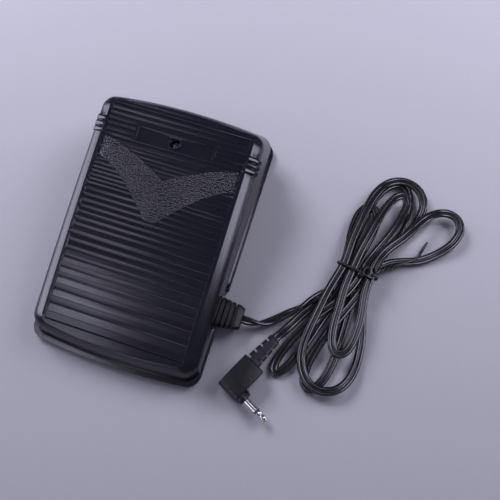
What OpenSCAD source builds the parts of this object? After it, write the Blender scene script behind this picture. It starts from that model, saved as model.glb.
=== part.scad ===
// Foot pedal of a sewing machine: a ribbed treadle shell hinged at the heel of a flat base,
// with return springs, a slide potentiometer, and a flat twin cord that ends in a right-angle plug.
// Millimetres. X is across the pedal, +Y runs from heel to toe, +Z is up, z = 0 is under the feet.

/* [Base] */
// Width of the base at the heel
base_width_heel = 97.8; // [92:0.2:104]
// Width of the base at the toe
base_width_toe = 96; // [90:0.2:104]
// Length of the base along the middle
base_length = 150.8; // [140:0.2:160]
// How far the middle of each end stands out past the corners
end_bulge = 3.4; // [0:0.1:8]
// Radius of the base corners
base_corner = 8; // [4:0.5:14]
// Gap between the table and the underside of the base
base_lift = 1; // [0.5:0.1:2]
// Top of the rim that shows round the treadle
rim_top = 3; // [2:0.1:5]
// Thickness of the upstand walls
wall = 2; // [1.2:0.1:3]
// Half width of the upstand walls, outside
upstand_half = 43; // [40:0.5:44]
// Heel end of the upstand
upstand_heel = -66; // [-68:0.5:-60]
// Toe end of the upstand
upstand_toe = 64; // [60:0.5:66]

/* [Treadle] */
// Height of the treading surface at mid length
mid_z = 26.4; // [20:0.1:34]
// Rise of the treading surface from mid length to the reference line at the toe
crown_rise = 10.8; // [6:0.1:16]
// Droop of the crown at the reference lines
crown_sag = 1.3; // [0:0.1:3]
// Distance of the reference lines from mid length
crown_ref = 65; // [50:1:70]
// Wall of the treadle shell
shell = 2.2; // [1.6:0.1:3]
// Half width of the flat top
top_half = 40.5; // [36:0.1:44]
// Half width at the lower edge of the bevel
bevel_half = 44.9; // [42:0.1:47]
// Half width at the top of the skirt, heel end
shoulder_half_heel = 46.7; // [44:0.1:48]
// Half width at the top of the skirt, toe end
shoulder_half_toe = 45.8; // [44:0.1:48]
// Half width at the bottom of the skirt
skirt_half = 47.2; // [45:0.1:48]
// Drop from the flat top to the lower edge of the bevel
bevel_drop = 1.6; // [0.5:0.1:3]
// Drop from the flat top to the top of the skirt
shoulder_drop = 3.2; // [2:0.1:5]
// Clearance between the skirt and the rim
skirt_gap = 0.3; // [0.2:0.05:1]

/* [Treads] */
// Length of each groove end from the middle
groove_half = 38.7; // [30:0.1:40]
// Depth of the grooves
groove_depth = 0.7; // [0.3:0.05:1.2]
// Line where the treads begin at the heel
tread_start = -61.2; // [-64:0.1:-55]
// Pitches of the broad treads at the heel
heel_pitches = [8.5, 7.6, 6.5, 5.4, 5.4, 4.3];
// Number and pitch of the medium treads
medium_treads = [3, 4.3];
// Number and pitch of the treads behind mid length
middle_treads = [6, 3.25];
// Number and pitch of the fine treads
fine_treads = [11, 2.25];
// Number and pitch of the treads at the toe
toe_treads = [7, 2.93];
// Part of each tread that rises towards the toe
crest_at = 0.45; // [0.3:0.05:0.7]
// Toe end of the smooth strip in front of the last tread
strip_end = 61; // [59:0.1:62]
// Depth of the smooth strip
strip_depth = 0.4; // [0:0.1:1]
// Number of grip beads on each bevel
bead_count = 3; // [0:1:6]
// Pitch of the grip beads
bead_pitch = 3.14; // [2:0.02:5]
// Centre of the grip beads
bead_centre = 45.2; // [40:0.1:50]
// Height of the grip beads
bead_height = 0.9; // [0.3:0.1:1.5]

/* [Grain patch and label recess] */
// Tip of the smooth-ground V, heel side
vee_outer_tip = 1.9; // [0:0.1:10]
// Tip of the V, toe side
vee_inner_tip = 24.5; // [15:0.1:30]
// Rise of the outer edge of the V to its ends
vee_outer_rise = 26.4; // [15:0.1:35]
// Rise of the inner edge of the V to its ends
vee_inner_rise = 15.2; // [8:0.1:25]
// Half width of the V
vee_half = 37.6; // [30:0.1:38]
// Half width of the blunt outer tip
vee_blunt = 3; // [0:0.1:6]
// How quickly the arms of the V flatten
vee_curve = 1.45; // [1:0.05:2.5]
// Half length of the recess
recess_half = 21.3; // [15:0.1:30]
// Heel side of the recess
recess_y0 = 41.7; // [38:0.1:44]
// Toe side of the recess
recess_y1 = 49.5; // [46:0.1:52]
// Depth of the recess
recess_depth = 0.9; // [0.4:0.1:1.5]
// Centre of the screw in the recess
screw_y = 45.4; // [43:0.1:48]

/* [Hinge and stop] */
// Hinge line, along the pedal
hinge_y = -58; // [-62:0.5:-54]
// Hinge line, height
hinge_z = 7; // [6:0.1:9]
// Travel of the treadle in degrees
travel = 5; // [3:0.1:7]
// Radius of the hinge pins
pin_r = 1.97; // [1.5:0.01:2.5]
// Radial play of the treadle on the pins
pin_play = 0.08; // [0.02:0.01:0.1]

/* [Springs] */
// Distance of each spring from the middle
spring_x = 24; // [18:0.5:32]
// Spring centre, along the pedal
spring_y = 14; // [5:0.5:25]
// Spring centre radius
spring_r = 4.6; // [3:0.1:7]
// Wire radius
spring_wire = 0.6; // [0.4:0.05:1]
// Turns of each spring
spring_turns = 7; // [5:1:12]

/* [Control board] */
// Board size across and along the pedal
board_size = [46, 26.6];
// Board centre
board_at = [-7, -26.7];
// Board thickness
board_thickness = 1.6; // [1:0.1:2]
// Height of the board posts above the floor
post_height = 3; // [2:0.5:6]

/* [Cord outlet] */
// Boot centre, along the pedal
boot_y = -29.9; // [-34:0.1:-26]
// Boot width where it leaves the pedal
boot_root = 16.6; // [12:0.1:20]
// Boot width at its tip
boot_tip = 13.2; // [8:0.1:16]
// Boot height at its root
boot_tall = 9.2; // [6:0.1:10]
// Boot height at its tip
boot_low = 7.6; // [5:0.1:9]
// Tip of the boot, from the middle of the pedal
boot_end = 60.5; // [55:0.5:68]
// Number of rings on the boot
boot_rings = 4; // [2:1:6]

/* [Cord] */
// Width of the flat twin cord
cord_width = 4.7; // [3:0.1:6]
// Thickness of the flat twin cord
cord_thick = 2.3; // [1.6:0.1:3]

/* [Plug] */
// Where the pin line crosses the body line
plug_at = [66.4, -64.5];
// Heading of the pin
plug_heading = -27; // [-90:1:90]
// Height of the pin line above the table
plug_z = 4.7; // [4:0.1:6]
// Radius of the plug pin
plug_r = 1.75; // [1.25:0.05:3.2]

/* [Hidden] */
// Which piece is drawn

// Steps along the ends, round the corners and along the sides of every outline
edge_n = 6;
corner_n = 6;
side_n = 15;
// Overlap of cutting tools
eps = 0.02;
floor_z = rim_top;
base_half = base_length / 2;
skirt_heel = -72.8;
skirt_toe = 73.2;
shoulder_heel = -69.4;
shoulder_toe = 65;
bevel_heel = -68;
bevel_toe = 63.8;
top_heel = -66.5;
top_toe = 61.8;
black = [0.07, 0.07, 0.08];
soft_black = [0.05, 0.05, 0.055];
steel = [0.72, 0.73, 0.75];
brass = [0.78, 0.62, 0.3];
green = [0.1, 0.33, 0.2];

// Height of the treading surface
function crown(y) = mid_z + crown_rise * y / crown_ref - crown_sag * pow(y / crown_ref, 2);

// Bottom of the skirt: level behind the hinge, then rising at the angle of travel
function skirt_z(y) = rim_top + skirt_gap + max(0, y - hinge_y) * tan(travel);

// Distance that a point ahead of the hinge sinks when the treadle is down
function sink(y) = (y - hinge_y) * sin(travel);

// Line of one bulged end
function end_line(x, w, y0, s) = y0 + s * end_bulge * pow(x / w, 2);

// Right half of an outline, from the middle of the heel to the middle of the toe
function half_outline(w0, w1, y0, y1, r) = concat(
  [for (i = [0 : edge_n - 1]) let (x = (w0 - r) * i / edge_n) [x, end_line(x, w0, y0, 1)]],
  [for (i = [0 : corner_n]) let (a = -90 + 90 * i / corner_n, c = w0 - r)
    [c + r * cos(a), end_line(c, w0, y0, 1) + r + r * sin(a)]],
  [for (i = [1 : side_n - 1]) let (t = i / side_n, ya = end_line(w0 - r, w0, y0, 1) + r,
    yb = end_line(w1 - r, w1, y1, -1) - r) [w0 + (w1 - w0) * t, ya + (yb - ya) * t]],
  [for (i = [0 : corner_n]) let (a = 90 * i / corner_n, c = w1 - r)
    [c + r * cos(a), end_line(c, w1, y1, -1) - r + r * sin(a)]],
  [for (i = [edge_n - 1 : -1 : 0]) let (x = (w1 - r) * i / edge_n) [x, end_line(x, w1, y1, -1)]]
);

half_count = 2 * edge_n + 2 * (corner_n + 1) + side_n - 1;

function whole_outline(h) = concat(h, [for (i = [len(h) - 2 : -1 : 1]) [-h[i][0], h[i][1]]]);

function outline(w0, w1, y0, y1, r) = whole_outline(half_outline(w0, w1, y0, y1, r));

// The outline lifted onto the crown, less a drop
function crown_ring(w0, w1, y0, y1, r, drop) =
  [for (p = outline(w0, w1, y0, y1, r)) [p[0], p[1], crown(p[1]) - drop]];

// The outline at the bottom of the skirt
function skirt_ring(w0, w1, y0, y1, r, drop) =
  [for (p = outline(w0, w1, y0, y1, r)) [p[0], p[1], skirt_z(p[1]) - drop]];

// Triangles between stacked rings of n points, seen clockwise from outside
function wall_faces(rings, n) = [
  for (k = [0 : rings - 2])
  for (i = [0 : n - 1])
  for (t = [0, 1])
  let (a = k * n + i, b = k * n + (i + 1) % n, c = a + n, d = b + n)
  t == 0 ? [a, c, d] : [a, d, b]
];

// Solid between mirror-symmetric rings, closed by strips that run straight across
module crowned_solid(rings) {
  h = half_count;
  n = 2 * h - 2;
  last = (len(rings) - 1) * n;
  polyhedron(
    points = [for (r = rings) for (p = r) p],
    faces = concat(
      wall_faces(len(rings), n),
      [[0, 1, n - 1], [h - 1, h, h - 2]],
      [for (i = [1 : h - 3]) [i, i + 1, n - i - 1, n - i]],
      [[last, last + n - 1, last + 1], [last + h - 1, last + h - 2, last + h]],
      [for (i = [1 : h - 3]) [last + n - i, last + n - i - 1, last + i + 1, last + i]]
    )
  );
}

// Solid between any stacked flat rings, seen anticlockwise from the far end
module stacked_solid(rings) {
  n = len(rings[0]);
  last = (len(rings) - 1) * n;
  polyhedron(
    points = [for (r = rings) for (p = r) p],
    faces = concat(
      wall_faces(len(rings), n),
      [for (i = [1 : n - 2]) [0, i, i + 1]],
      [for (i = [1 : n - 2]) [last, last + i + 1, last + i]]
    )
  );
}

// Rounded rectangle with m steps a corner, anticlockwise
function round_rect(w, h, r, m) = [
  for (q = [0 : 3])
  for (i = [0 : m])
  let (a = 90 * q + 90 * i / m, sx = q == 0 || q == 3 ? 1 : -1, sy = q < 2 ? 1 : -1)
  [sx * (w / 2 - r) + r * cos(a), sy * (h / 2 - r) + r * sin(a)]
];

// Extrudes a side outline given as [y, z] points across the pedal
module across(x0, x1) {
  translate([x0, 0, 0])
    rotate([90, 0, 90])
      linear_extrude(height = x1 - x0)
        children();
}

module box(x0, x1, y0, y1, z0, z1) {
  translate([x0, y0, z0])
    cube([x1 - x0, y1 - y0, z1 - z0]);
}

module post(x, y, z0, z1, r) {
  translate([x, y, z0])
    cylinder(r = r, h = z1 - z0, $fn = 32);
}

// ---- base ----

// Top line of the upstand, clear of the lowered treadle
upstand_top_heel = 9.6;
upstand_top_toe = 19;
flange_gap_y0 = -39.2;
flange_gap_y1 = -17.8;
boot_hole_y = 6.7;
boot_hole_z0 = 3.2;
boot_hole_z1 = 8.2;
foot_x = 35;
foot_y = 59;
foot_r = 7;
foot_recess = 0.8;
ear_r = 3.6;
ear_inner = [21.5, 25.5];
ear_outer = [32.5, 36.5];
cover_ear = [26, 32];
board_post_x = [-26, 12];
board_post_y = [-36, -17.5];
board_post_r = 3;
board_z = floor_z + post_height;
board_top = board_z + board_thickness;
clamp_x = 27;
clamp_y = [-36.5, -23.3];
clamp_z = 7;
seat_z = 5;
seat_r = 6.2;
guide_r = 3.4;
spring_top = crown(spring_y) - shell - 1.4;
bridge_x = [10, 13.5];
bridge_y = [52.4, 57];
bridge_z = [16, 18.4];
hook_top = 15.9;
hook_floor = 13.4;

module upstand_walls() {
  difference() {
    linear_extrude(height = 22)
      polygon(outline(upstand_half, upstand_half - 0.6, upstand_heel, upstand_toe, 6));
    translate([0, 0, -1])
      linear_extrude(height = 24)
        polygon(outline(upstand_half - wall, upstand_half - 0.6 - wall,
          upstand_heel + wall, upstand_toe - wall, 6 - wall));
    across(-60, 60)
      polygon([[-80, upstand_top_heel - 1], [80, upstand_top_toe + 1], [80, 40], [-80, 40]]);
    box(-60, 60, -80, 80, -1, floor_z - 0.5);
  }
}

module base_floor() {
  difference() {
    translate([0, 0, base_lift])
      linear_extrude(height = rim_top - base_lift)
        polygon(outline(base_width_heel / 2, base_width_toe / 2, -base_half, base_half, base_corner));
    box(upstand_half - 0.2, 60, flange_gap_y0, flange_gap_y1, 0, 5);
    for (sx = [-1, 1])
      for (sy = [-1, 1])
        post(sx * foot_x, sy * foot_y, 0, base_lift + foot_recess, foot_r + 0.1);
  }
}

module base_ear(x0, x1) {
  across(x0, x1)
    difference() {
      union() {
        translate([hinge_y, hinge_z])
          circle(r = ear_r, $fn = 48);
        translate([hinge_y - ear_r, floor_z - 0.5])
          square([2 * ear_r, hinge_z - floor_z + 0.5]);
      }
      translate([hinge_y, hinge_z])
        circle(r = pin_r + 0.01, $fn = 48);
    }
}

// Floor ribs on a regular grid, low enough to pass under everything
module floor_ribs() {
  for (x = [-18, 18])
    box(x - 0.8, x + 0.8, 2, 40, floor_z - 0.2, floor_z + 1.6);
  for (y = [2, 24, 37])
    box(-upstand_half + 1, upstand_half - 1, y - 0.8, y + 0.8, floor_z - 0.2, floor_z + 1.6);
}

module stop_bridge() {
  for (s = [-1, 1])
    box(min(s * bridge_x[0], s * bridge_x[1]), max(s * bridge_x[0], s * bridge_x[1]),
      bridge_y[0], bridge_y[1], floor_z - 0.2, bridge_z[1]);
  box(-bridge_x[1], bridge_x[1], bridge_y[0], bridge_y[1], bridge_z[0], bridge_z[1]);
  for (s = [-1, 1])
    across(s * 11.75 - 1, s * 11.75 + 1)
      polygon([
        [bridge_y[1] - 0.5, floor_z - 0.2],
        [bridge_y[1] + 4.6, floor_z - 0.2],
        [bridge_y[1] - 0.5, 13]
      ]);
}

module base_tray() {
  color(black)
    difference() {
      union() {
        base_floor();
        upstand_walls();
        floor_ribs();
        stop_bridge();
        for (s = [-1, 1]) {
          base_ear(s > 0 ? ear_inner[0] : -ear_inner[1], s > 0 ? ear_inner[1] : -ear_inner[0]);
          base_ear(s > 0 ? ear_outer[0] : -ear_outer[1], s > 0 ? ear_outer[1] : -ear_outer[0]);
          post(s * spring_x, spring_y, floor_z - 0.2, seat_z, seat_r);
          post(s * spring_x, spring_y, floor_z - 0.2, seat_z + 5, guide_r);
        }
        for (x = board_post_x)
          for (y = board_post_y)
            post(x, y, floor_z - 0.2, board_z, board_post_r);
        for (y = clamp_y)
          post(clamp_x, y, floor_z - 0.2, clamp_z, 2.6);
        box(clamp_x - 2.5, clamp_x + 2.5, clamp_y[0] + 3, clamp_y[1] - 3, floor_z - 0.2, 4.5);
      }
      for (x = board_post_x)
        for (y = board_post_y)
          post(x, y, base_lift + 0.8, board_z + 1, 1.1);
      for (y = clamp_y)
        post(clamp_x, y, base_lift + 0.8, clamp_z + 1, 1.1);
      box(upstand_half - wall - 1, upstand_half + 1, boot_y - boot_hole_y, boot_y + boot_hole_y,
        boot_hole_z0, boot_hole_z1);
      for (s = [-1, 1])
        post(s * spring_x, spring_y, base_lift + 1, seat_z + 6, 1.4);
    }
}

module rubber_feet() {
  color(soft_black)
    for (sx = [-1, 1])
      for (sy = [-1, 1])
        translate([sx * foot_x, sy * foot_y, 0])
          rotate_extrude($fn = 48)
            polygon([[0, 0.3], [2.5, 0.3], [3, 0], [foot_r - 0.6, 0], [foot_r, 0.6],
              [foot_r, base_lift + foot_recess], [0, base_lift + foot_recess]]);
}

module hinge_pins() {
  color(steel)
    for (s = [-1, 1])
      translate([s > 0 ? ear_inner[0] - 0.5 : -ear_outer[1] - 0.5, hinge_y, hinge_z])
        rotate([0, 90, 0])
          cylinder(r = pin_r, h = ear_outer[1] - ear_inner[0] + 1, $fn = 48);
}

// One compression spring: closed end turns, open middle turns
coil_rings = 8;
function coil_lift(t) = t < 1 ? t * 2.1 * spring_wire
  : t > spring_turns - 1 ? spring_top - seat_z - 2 * spring_wire - (spring_turns - t) * 2.1 * spring_wire
  : 2.1 * spring_wire
    + (t - 1) * (spring_top - seat_z - 2 * spring_wire - 4.2 * spring_wire) / (spring_turns - 2);
function coil_path() = [
  for (i = [0 : spring_turns * coil_rings])
  let (t = i / coil_rings)
  [spring_r * cos(360 * t), spring_r * sin(360 * t), seat_z + spring_wire + coil_lift(t)]
];

module return_springs() {
  color(steel)
    for (s = [-1, 1])
      translate([s * spring_x, spring_y, 0])
        swept(coil_path(), round_shape(spring_wire, 6));
}

module circuit_board() {
  x0 = board_at[0] - board_size[0] / 2;
  y0 = board_at[1] - board_size[1] / 2;
  color(green)
    difference() {
      box(x0, x0 + board_size[0], y0, y0 + board_size[1], board_z, board_top);
      for (x = board_post_x)
        for (y = board_post_y)
          post(x, y, board_z - 1, board_top + 1, 1.3);
    }
}

// Pan-head screw, head bottom at z = 0, pointing down
module pan_screw(head_r, head_h, shank_r, length) {
  difference() {
    union() {
      translate([0, 0, -length])
        cylinder(r = shank_r, h = length + eps, $fn = 24);
      rotate_extrude($fn = 32)
        polygon([[0, 0], [head_r, 0], [head_r, head_h * 0.45], [head_r * 0.75, head_h * 0.85],
          [head_r * 0.35, head_h], [0, head_h]]);
    }
    for (a = [0, 90])
      rotate([0, 0, a])
        translate([-head_r * 0.6, -0.25, head_h * 0.4])
          cube([head_r * 1.2, 0.5, head_h]);
  }
}

module board_screws() {
  color(steel)
    for (x = board_post_x)
      for (y = board_post_y)
        translate([x, y, board_top])
          pan_screw(2.2, 1.5, 1.05, board_top - base_lift - 1);
}

module ballast_resistor() {
  color([0.85, 0.83, 0.76])
    union() {
      box(-24, -6, -31.5, -25.5, board_top + 0.4, board_top + 6);
      for (x = [-22, -8])
        post(x, -28.5, board_top - 1, board_top + 1, 0.5);
    }
}

module capacitors() {
  color([0.2, 0.22, 0.45])
    for (x = [-17, -10])
      translate([x, -19, board_top])
        rotate_extrude($fn = 32)
          polygon([[0, 0], [2.5, 0], [2.5, 0.8], [2.3, 1.1], [2.5, 1.4], [2.5, 6.6], [2.2, 7], [0, 7]]);
}

terminal_x = [7, 15.4];
terminal_y = [-33.4, -25.5];
lead_y = [-31.6, -28];
module terminal_block() {
  color([0.16, 0.4, 0.24])
    difference() {
      union() {
        box(terminal_x[0], terminal_x[1], terminal_y[0], terminal_y[1], board_top, board_top + 3.4);
        across(terminal_x[0], terminal_x[1] - 2)
          polygon([[terminal_y[0], board_top + 3], [terminal_y[1], board_top + 3],
            [terminal_y[1] - 1, board_top + 5.8], [terminal_y[0] + 1, board_top + 5.8]]);
      }
      for (y = lead_y)
        post(10.5, y, board_top + 4.6, board_top + 8, 1.2);
    }
}

// ---- potentiometer ----

slider_y = -10.4;
slider_z = 14.4;
slider_travel = (slider_y - hinge_y) * sin(travel) + (slider_z - hinge_z) * (1 - cos(travel));
track_y = [-20, -14];
track_top = 16.8;
finger_r = 1.2;

module slide_potentiometer() {
  color([0.55, 0.57, 0.6])
    difference() {
      union() {
        box(-5, 5, track_y[0], track_y[1], board_top, track_top);
        for (x = [-3, 0, 3])
          post(x, -18.6, board_z - 1, board_top + 1, 0.4);
      }
      box(-1.6, 1.6, track_y[0] + 1.5, track_y[1] + 1,
        slider_z - slider_travel - finger_r - 0.6, slider_z + finger_r + 0.6);
    }
}

module potentiometer_slider() {
  color([0.9, 0.9, 0.88])
    union() {
      box(-1.2, 1.2, track_y[0] + 2, slider_y, slider_z - finger_r, slider_z + finger_r);
      translate([-1.2, slider_y, slider_z])
        rotate([0, 90, 0])
          cylinder(r = finger_r, h = 9.4, $fn = 32);
    }
}

// ---- cord clamp and inner leads ----

module cord_clamp() {
  color([0.8, 0.8, 0.78])
    difference() {
      across(clamp_x - 2.6, clamp_x + 2.6)
        polygon([
          [clamp_y[0] - 2.6, clamp_z],
          [clamp_y[1] + 2.6, clamp_z],
          [clamp_y[1] + 2.6, clamp_z + 1.4],
          [clamp_y[1] - 1.6, clamp_z + 2.2],
          [clamp_y[0] + 1.6, clamp_z + 2.2],
          [clamp_y[0] - 2.6, clamp_z + 1.4]
        ]);
      for (y = clamp_y)
        post(clamp_x, y, clamp_z - 1, clamp_z + 4, 1.3);
    }
}

module clamp_screws() {
  color(steel)
    for (y = clamp_y)
      translate([clamp_x, y, clamp_z + 2.2])
        pan_screw(2.2, 1.5, 1.05, 7.2);
}

lead_r = 1.1;
function lead_path(y) = [
  [38.7, boot_y + (y - boot_y) * 0.7, 5.8],
  [36, boot_y + (y - boot_y) * 0.72, 5.75],
  [33, boot_y + (y - boot_y) * 0.8, 5.7],
  [30, y, 5.7],
  [24, y, 5.7],
  [21.5, y, 6.4],
  [19.6, y, 7.8],
  [18.2, y, 9],
  [16.8, y, 9.4],
  [15.4, y, 9.4]
];

module internal_leads() {
  color([0.5, 0.1, 0.1])
    for (y = lead_y)
      swept(lead_path(y), round_shape(lead_r, 8));
}

// ---- treadle ----

// Running sum of a list
function run_sum(list, i) = i < 0 ? 0 : list[i] + run_sum(list, i - 1);
tread_pitches = concat(
  heel_pitches,
  [for (i = [1 : medium_treads[0]]) medium_treads[1]],
  [3.6],
  [for (i = [1 : middle_treads[0]]) middle_treads[1]],
  [for (i = [1 : fine_treads[0]]) fine_treads[1]],
  [for (i = [1 : toe_treads[0]]) toe_treads[1]]
);
function tread_line(i) = tread_start + run_sum(tread_pitches, i - 1);

// One tread as [share of its pitch, share of the groove depth left]
tread_shape = [[0, 1], [0.05, 0.5], [crest_at, 0], [crest_at + 0.04, 0.2], [0.94, 0.55]];
tread_last = tread_line(len(tread_pitches));

function groove_line() = concat(
  [[tread_start - 0.4, crown(tread_start - 0.4) + eps]],
  [for (i = [0 : len(tread_pitches) - 1])
    for (s = tread_shape)
    let (y = tread_line(i) + s[0] * tread_pitches[i])
    [y, crown(y) - groove_depth * s[1]]],
  [[tread_last, crown(tread_last) - groove_depth],
    [tread_last + 0.4, crown(tread_last + 0.4) + eps]]
);

module groove_cutter() {
  across(-groove_half, groove_half)
    polygon(concat(groove_line(), [[tread_last + 0.4, 45], [tread_start - 0.4, 45]]));
}

// Edge of the grain patch: rises quickly from the tip and flattens to the ends
function vee_edge(x, tip, rise, blunt) =
  tip + rise * (1 - pow(1 - max(0, x - blunt) / (vee_half - blunt), vee_curve));
vee_steps = 12;
function vee_side(tip, rise, blunt) =
  [for (i = [0 : vee_steps]) let (x = vee_half * i / vee_steps) [x, vee_edge(x, tip, rise, blunt)]];
function back(list) = [for (i = [len(list) - 1 : -1 : 0]) list[i]];
function vee_outline() = concat(
  vee_side(vee_outer_tip, vee_outer_rise, vee_blunt),
  back(vee_side(vee_inner_tip, vee_inner_rise, 0)),
  [for (p = vee_side(vee_inner_tip, vee_inner_rise, 0)) if (p[0] > 0) [-p[0], p[1]]],
  [for (p = back(vee_side(vee_outer_tip, vee_outer_rise, vee_blunt))) if (p[0] > 0) [-p[0], p[1]]]
);

module treads_cut() {
  difference() {
    groove_cutter();
    translate([0, 0, 10])
      linear_extrude(height = 40)
        polygon(vee_outline());
    box(-recess_half - 1.6, recess_half + 1.6, recess_y0 - 1, recess_y1 + 1, 10, 50);
  }
}

// Smooth strip between the last tread and the toe lip
module strip_cut() {
  y0 = tread_last + 1.4;
  across(-groove_half - 0.6, groove_half + 0.6)
    polygon([[y0, crown(y0) + 1], [y0, crown(y0) - 0.05], [y0 + 1, crown(y0 + 1) - strip_depth],
      [strip_end - 0.6, crown(strip_end - 0.6) - strip_depth], [strip_end, crown(strip_end) - 0.05],
      [strip_end, crown(strip_end) + 1]]);
}

module recess_cut() {
  across(-recess_half, recess_half)
    polygon([[recess_y0, crown(recess_y0) + 2], [recess_y0 + 0.15, crown(recess_y0) - recess_depth],
      [recess_y1 - 0.15, crown(recess_y1) - recess_depth], [recess_y1, crown(recess_y1) + 2]]);
}

// Scalloped bars over the bevels
module grip_beads(s) {
  w = bead_count * bead_pitch;
  y0 = bead_centre - w / 2;
  scallops = concat(
    [[y0, -0.8]],
    [for (k = [0 : bead_count - 1])
      for (i = [0 : 6])
      let (a = 180 - 30 * i)
      [y0 + (k + 0.5) * bead_pitch + bead_pitch / 2 * cos(a), bead_height * sin(a)]],
    [[y0 + w, -0.8]]
  );
  run = norm([bevel_half - top_half, bevel_drop]);
  fall = atan2(bevel_drop, bevel_half - top_half);
  climb = atan2(crown(bead_centre + 1) - crown(bead_centre - 1), 2);
  drop = norm([shoulder_half_toe + 0.4 - bevel_half, shoulder_drop + 0.8 - bevel_drop]);
  lean = atan2(shoulder_drop + 0.8 - bevel_drop, shoulder_half_toe + 0.4 - bevel_half);
  mirror([s > 0 ? 0 : 1, 0, 0])
    translate([top_half, bead_centre, crown(bead_centre)])
      rotate([climb, 0, 0])
        translate([0, -bead_centre, 0]) {
          rotate([0, fall, 0])
            across(-0.3, run + 0.3)
              polygon(scallops);
          translate([bevel_half - top_half, 0, -bevel_drop])
            rotate([0, lean, 0])
              across(-0.2, drop)
                polygon(scallops);
        }
}

screw_head_z = 27.8;
screw_well_r = 2.6;
boss_r = 4.6;
hook_seat_z = 26.2;
fork_seat_z = 20.3;
fork_screw_x = [-4.5, 12.5];
fork_screw_y = -8;
rib_t = 1.6;
notch_z = 14;

module outer_form() {
  crowned_solid([
    skirt_ring(skirt_half, skirt_half, skirt_heel, skirt_toe, 8, 0),
    crown_ring(shoulder_half_heel, shoulder_half_toe, shoulder_heel, shoulder_toe, 7.6, shoulder_drop),
    crown_ring(bevel_half + 0.9, bevel_half + 0.5, bevel_heel - 0.8, bevel_toe + 0.7, 7.2,
      (bevel_drop + shoulder_drop) / 2 - 0.15),
    crown_ring(bevel_half, bevel_half, bevel_heel, bevel_toe, 6.6, bevel_drop),
    crown_ring(top_half + 0.6, top_half + 0.6, top_heel - 0.5, top_toe + 0.9, 4.6, 0.25),
    crown_ring(top_half, top_half, top_heel, top_toe, 4.2, 0)
  ]);
}

module inner_form() {
  crowned_solid([
    skirt_ring(skirt_half - shell + 0.2, skirt_half - shell + 0.2,
      skirt_heel + shell, skirt_toe - shell, 6.4, 1),
    crown_ring(shoulder_half_heel - shell, shoulder_half_toe - shell,
      shoulder_heel + shell, shoulder_toe - shell, 5.8, shoulder_drop + 1.6),
    crown_ring(bevel_half - shell + 0.2, bevel_half - shell + 0.2,
      bevel_heel + shell, bevel_toe - shell, 4.8, bevel_drop + 2.1),
    crown_ring(top_half - 0.8, top_half - 0.8, top_heel + 1.8, top_toe - 1.8, 3.2, shell)
  ]);
}

module cover_ears() {
  for (s = [-1, 1])
    across(s > 0 ? cover_ear[0] : -cover_ear[1], s > 0 ? cover_ear[1] : -cover_ear[0])
      difference() {
        union() {
          translate([hinge_y, hinge_z])
            circle(r = ear_r - 0.1, $fn = 48);
          polygon([
            [hinge_y - ear_r + 0.1, hinge_z],
            [hinge_y + ear_r - 0.1, hinge_z],
            [hinge_y + ear_r + 1, crown(hinge_y + 4) - shell + 0.5],
            [hinge_y - ear_r + 0.1, crown(hinge_y - 4) - shell + 0.5]
          ]);
        }
        translate([hinge_y, hinge_z])
          circle(r = pin_r + pin_play, $fn = 48);
      }
}

// Ribs under the plate, lower edges parallel to the crown
module cover_ribs() {
  for (x = [-34, -14, 14, 34])
    across(x - rib_t / 2, x + rib_t / 2)
      polygon(concat(
        [for (y = [-46 : 6 : 38]) [y, crown(y) - shell - 2.2]],
        [for (y = [38 : -6 : -46]) [y, crown(y) - shell + 0.5]]));
  for (y = [-46, -2, 30, 56])
    box(-40, 40, y - rib_t / 2, y + rib_t / 2, crown(y) - shell - 2.2, crown(y) - shell + 0.5);
}

module spring_cup(s) {
  translate([s * spring_x, spring_y, 0])
    difference() {
      cylinder(r = 7, h = crown(spring_y) - shell + 0.4, $fn = 48);
      translate([0, 0, -1])
        cylinder(r = 8, h = spring_top - 2 + 1, $fn = 48);
      translate([0, 0, -1])
        cylinder(r = 5.8, h = spring_top + 0.05 + 1, $fn = 48);
    }
}

module treadle_cover() {
  color(black)
    difference() {
      union() {
        difference() {
          union() {
            outer_form();
            grip_beads(1);
            grip_beads(-1);
          }
          inner_form();
          treads_cut();
          strip_cut();
          recess_cut();
        }
        cover_ears();
        cover_ribs();
        spring_cup(1);
        spring_cup(-1);
        post(0, screw_y, hook_seat_z, crown(screw_y) - recess_depth - 0.6, boss_r);
        for (x = fork_screw_x)
          post(x, fork_screw_y, fork_seat_z, crown(fork_screw_y) - shell + 0.4, 2.8);
        difference() {
          post(0, screw_y, crown(screw_y) - recess_depth - 1.2, crown(screw_y) - recess_depth + 0.35, 3.5);
          post(0, screw_y, 20, 40, 3);
        }
      }
      post(0, screw_y, screw_head_z, 40, screw_well_r);
      post(0, screw_y, 20, 35, 1.65);
      for (x = fork_screw_x)
        post(x, fork_screw_y, fork_seat_z - 1, fork_seat_z + 2.6, 1.1);
      box(skirt_half - 5, skirt_half + 5,
        boot_y - boot_root / 2 - 0.9, boot_y + boot_root / 2 + 0.9, 0, notch_z);
    }
}

module stop_hook() {
  color(steel)
    difference() {
      union() {
        box(-6, 6, 41.4, 49.6, hook_seat_z - 2.6, hook_seat_z);
        box(-5, 5, 41.4, 44.2, hook_floor, hook_seat_z - 0.5);
        box(-5, 5, 41.4, 56.6, hook_floor, hook_top);
      }
      post(0, screw_y, 20, 30, 1.55);
    }
}

module centre_screw() {
  color(steel)
    translate([0, screw_y, screw_head_z])
      pan_screw(2.4, 1.7, 1.5, screw_head_z - hook_seat_z + 2.6);
}

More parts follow.
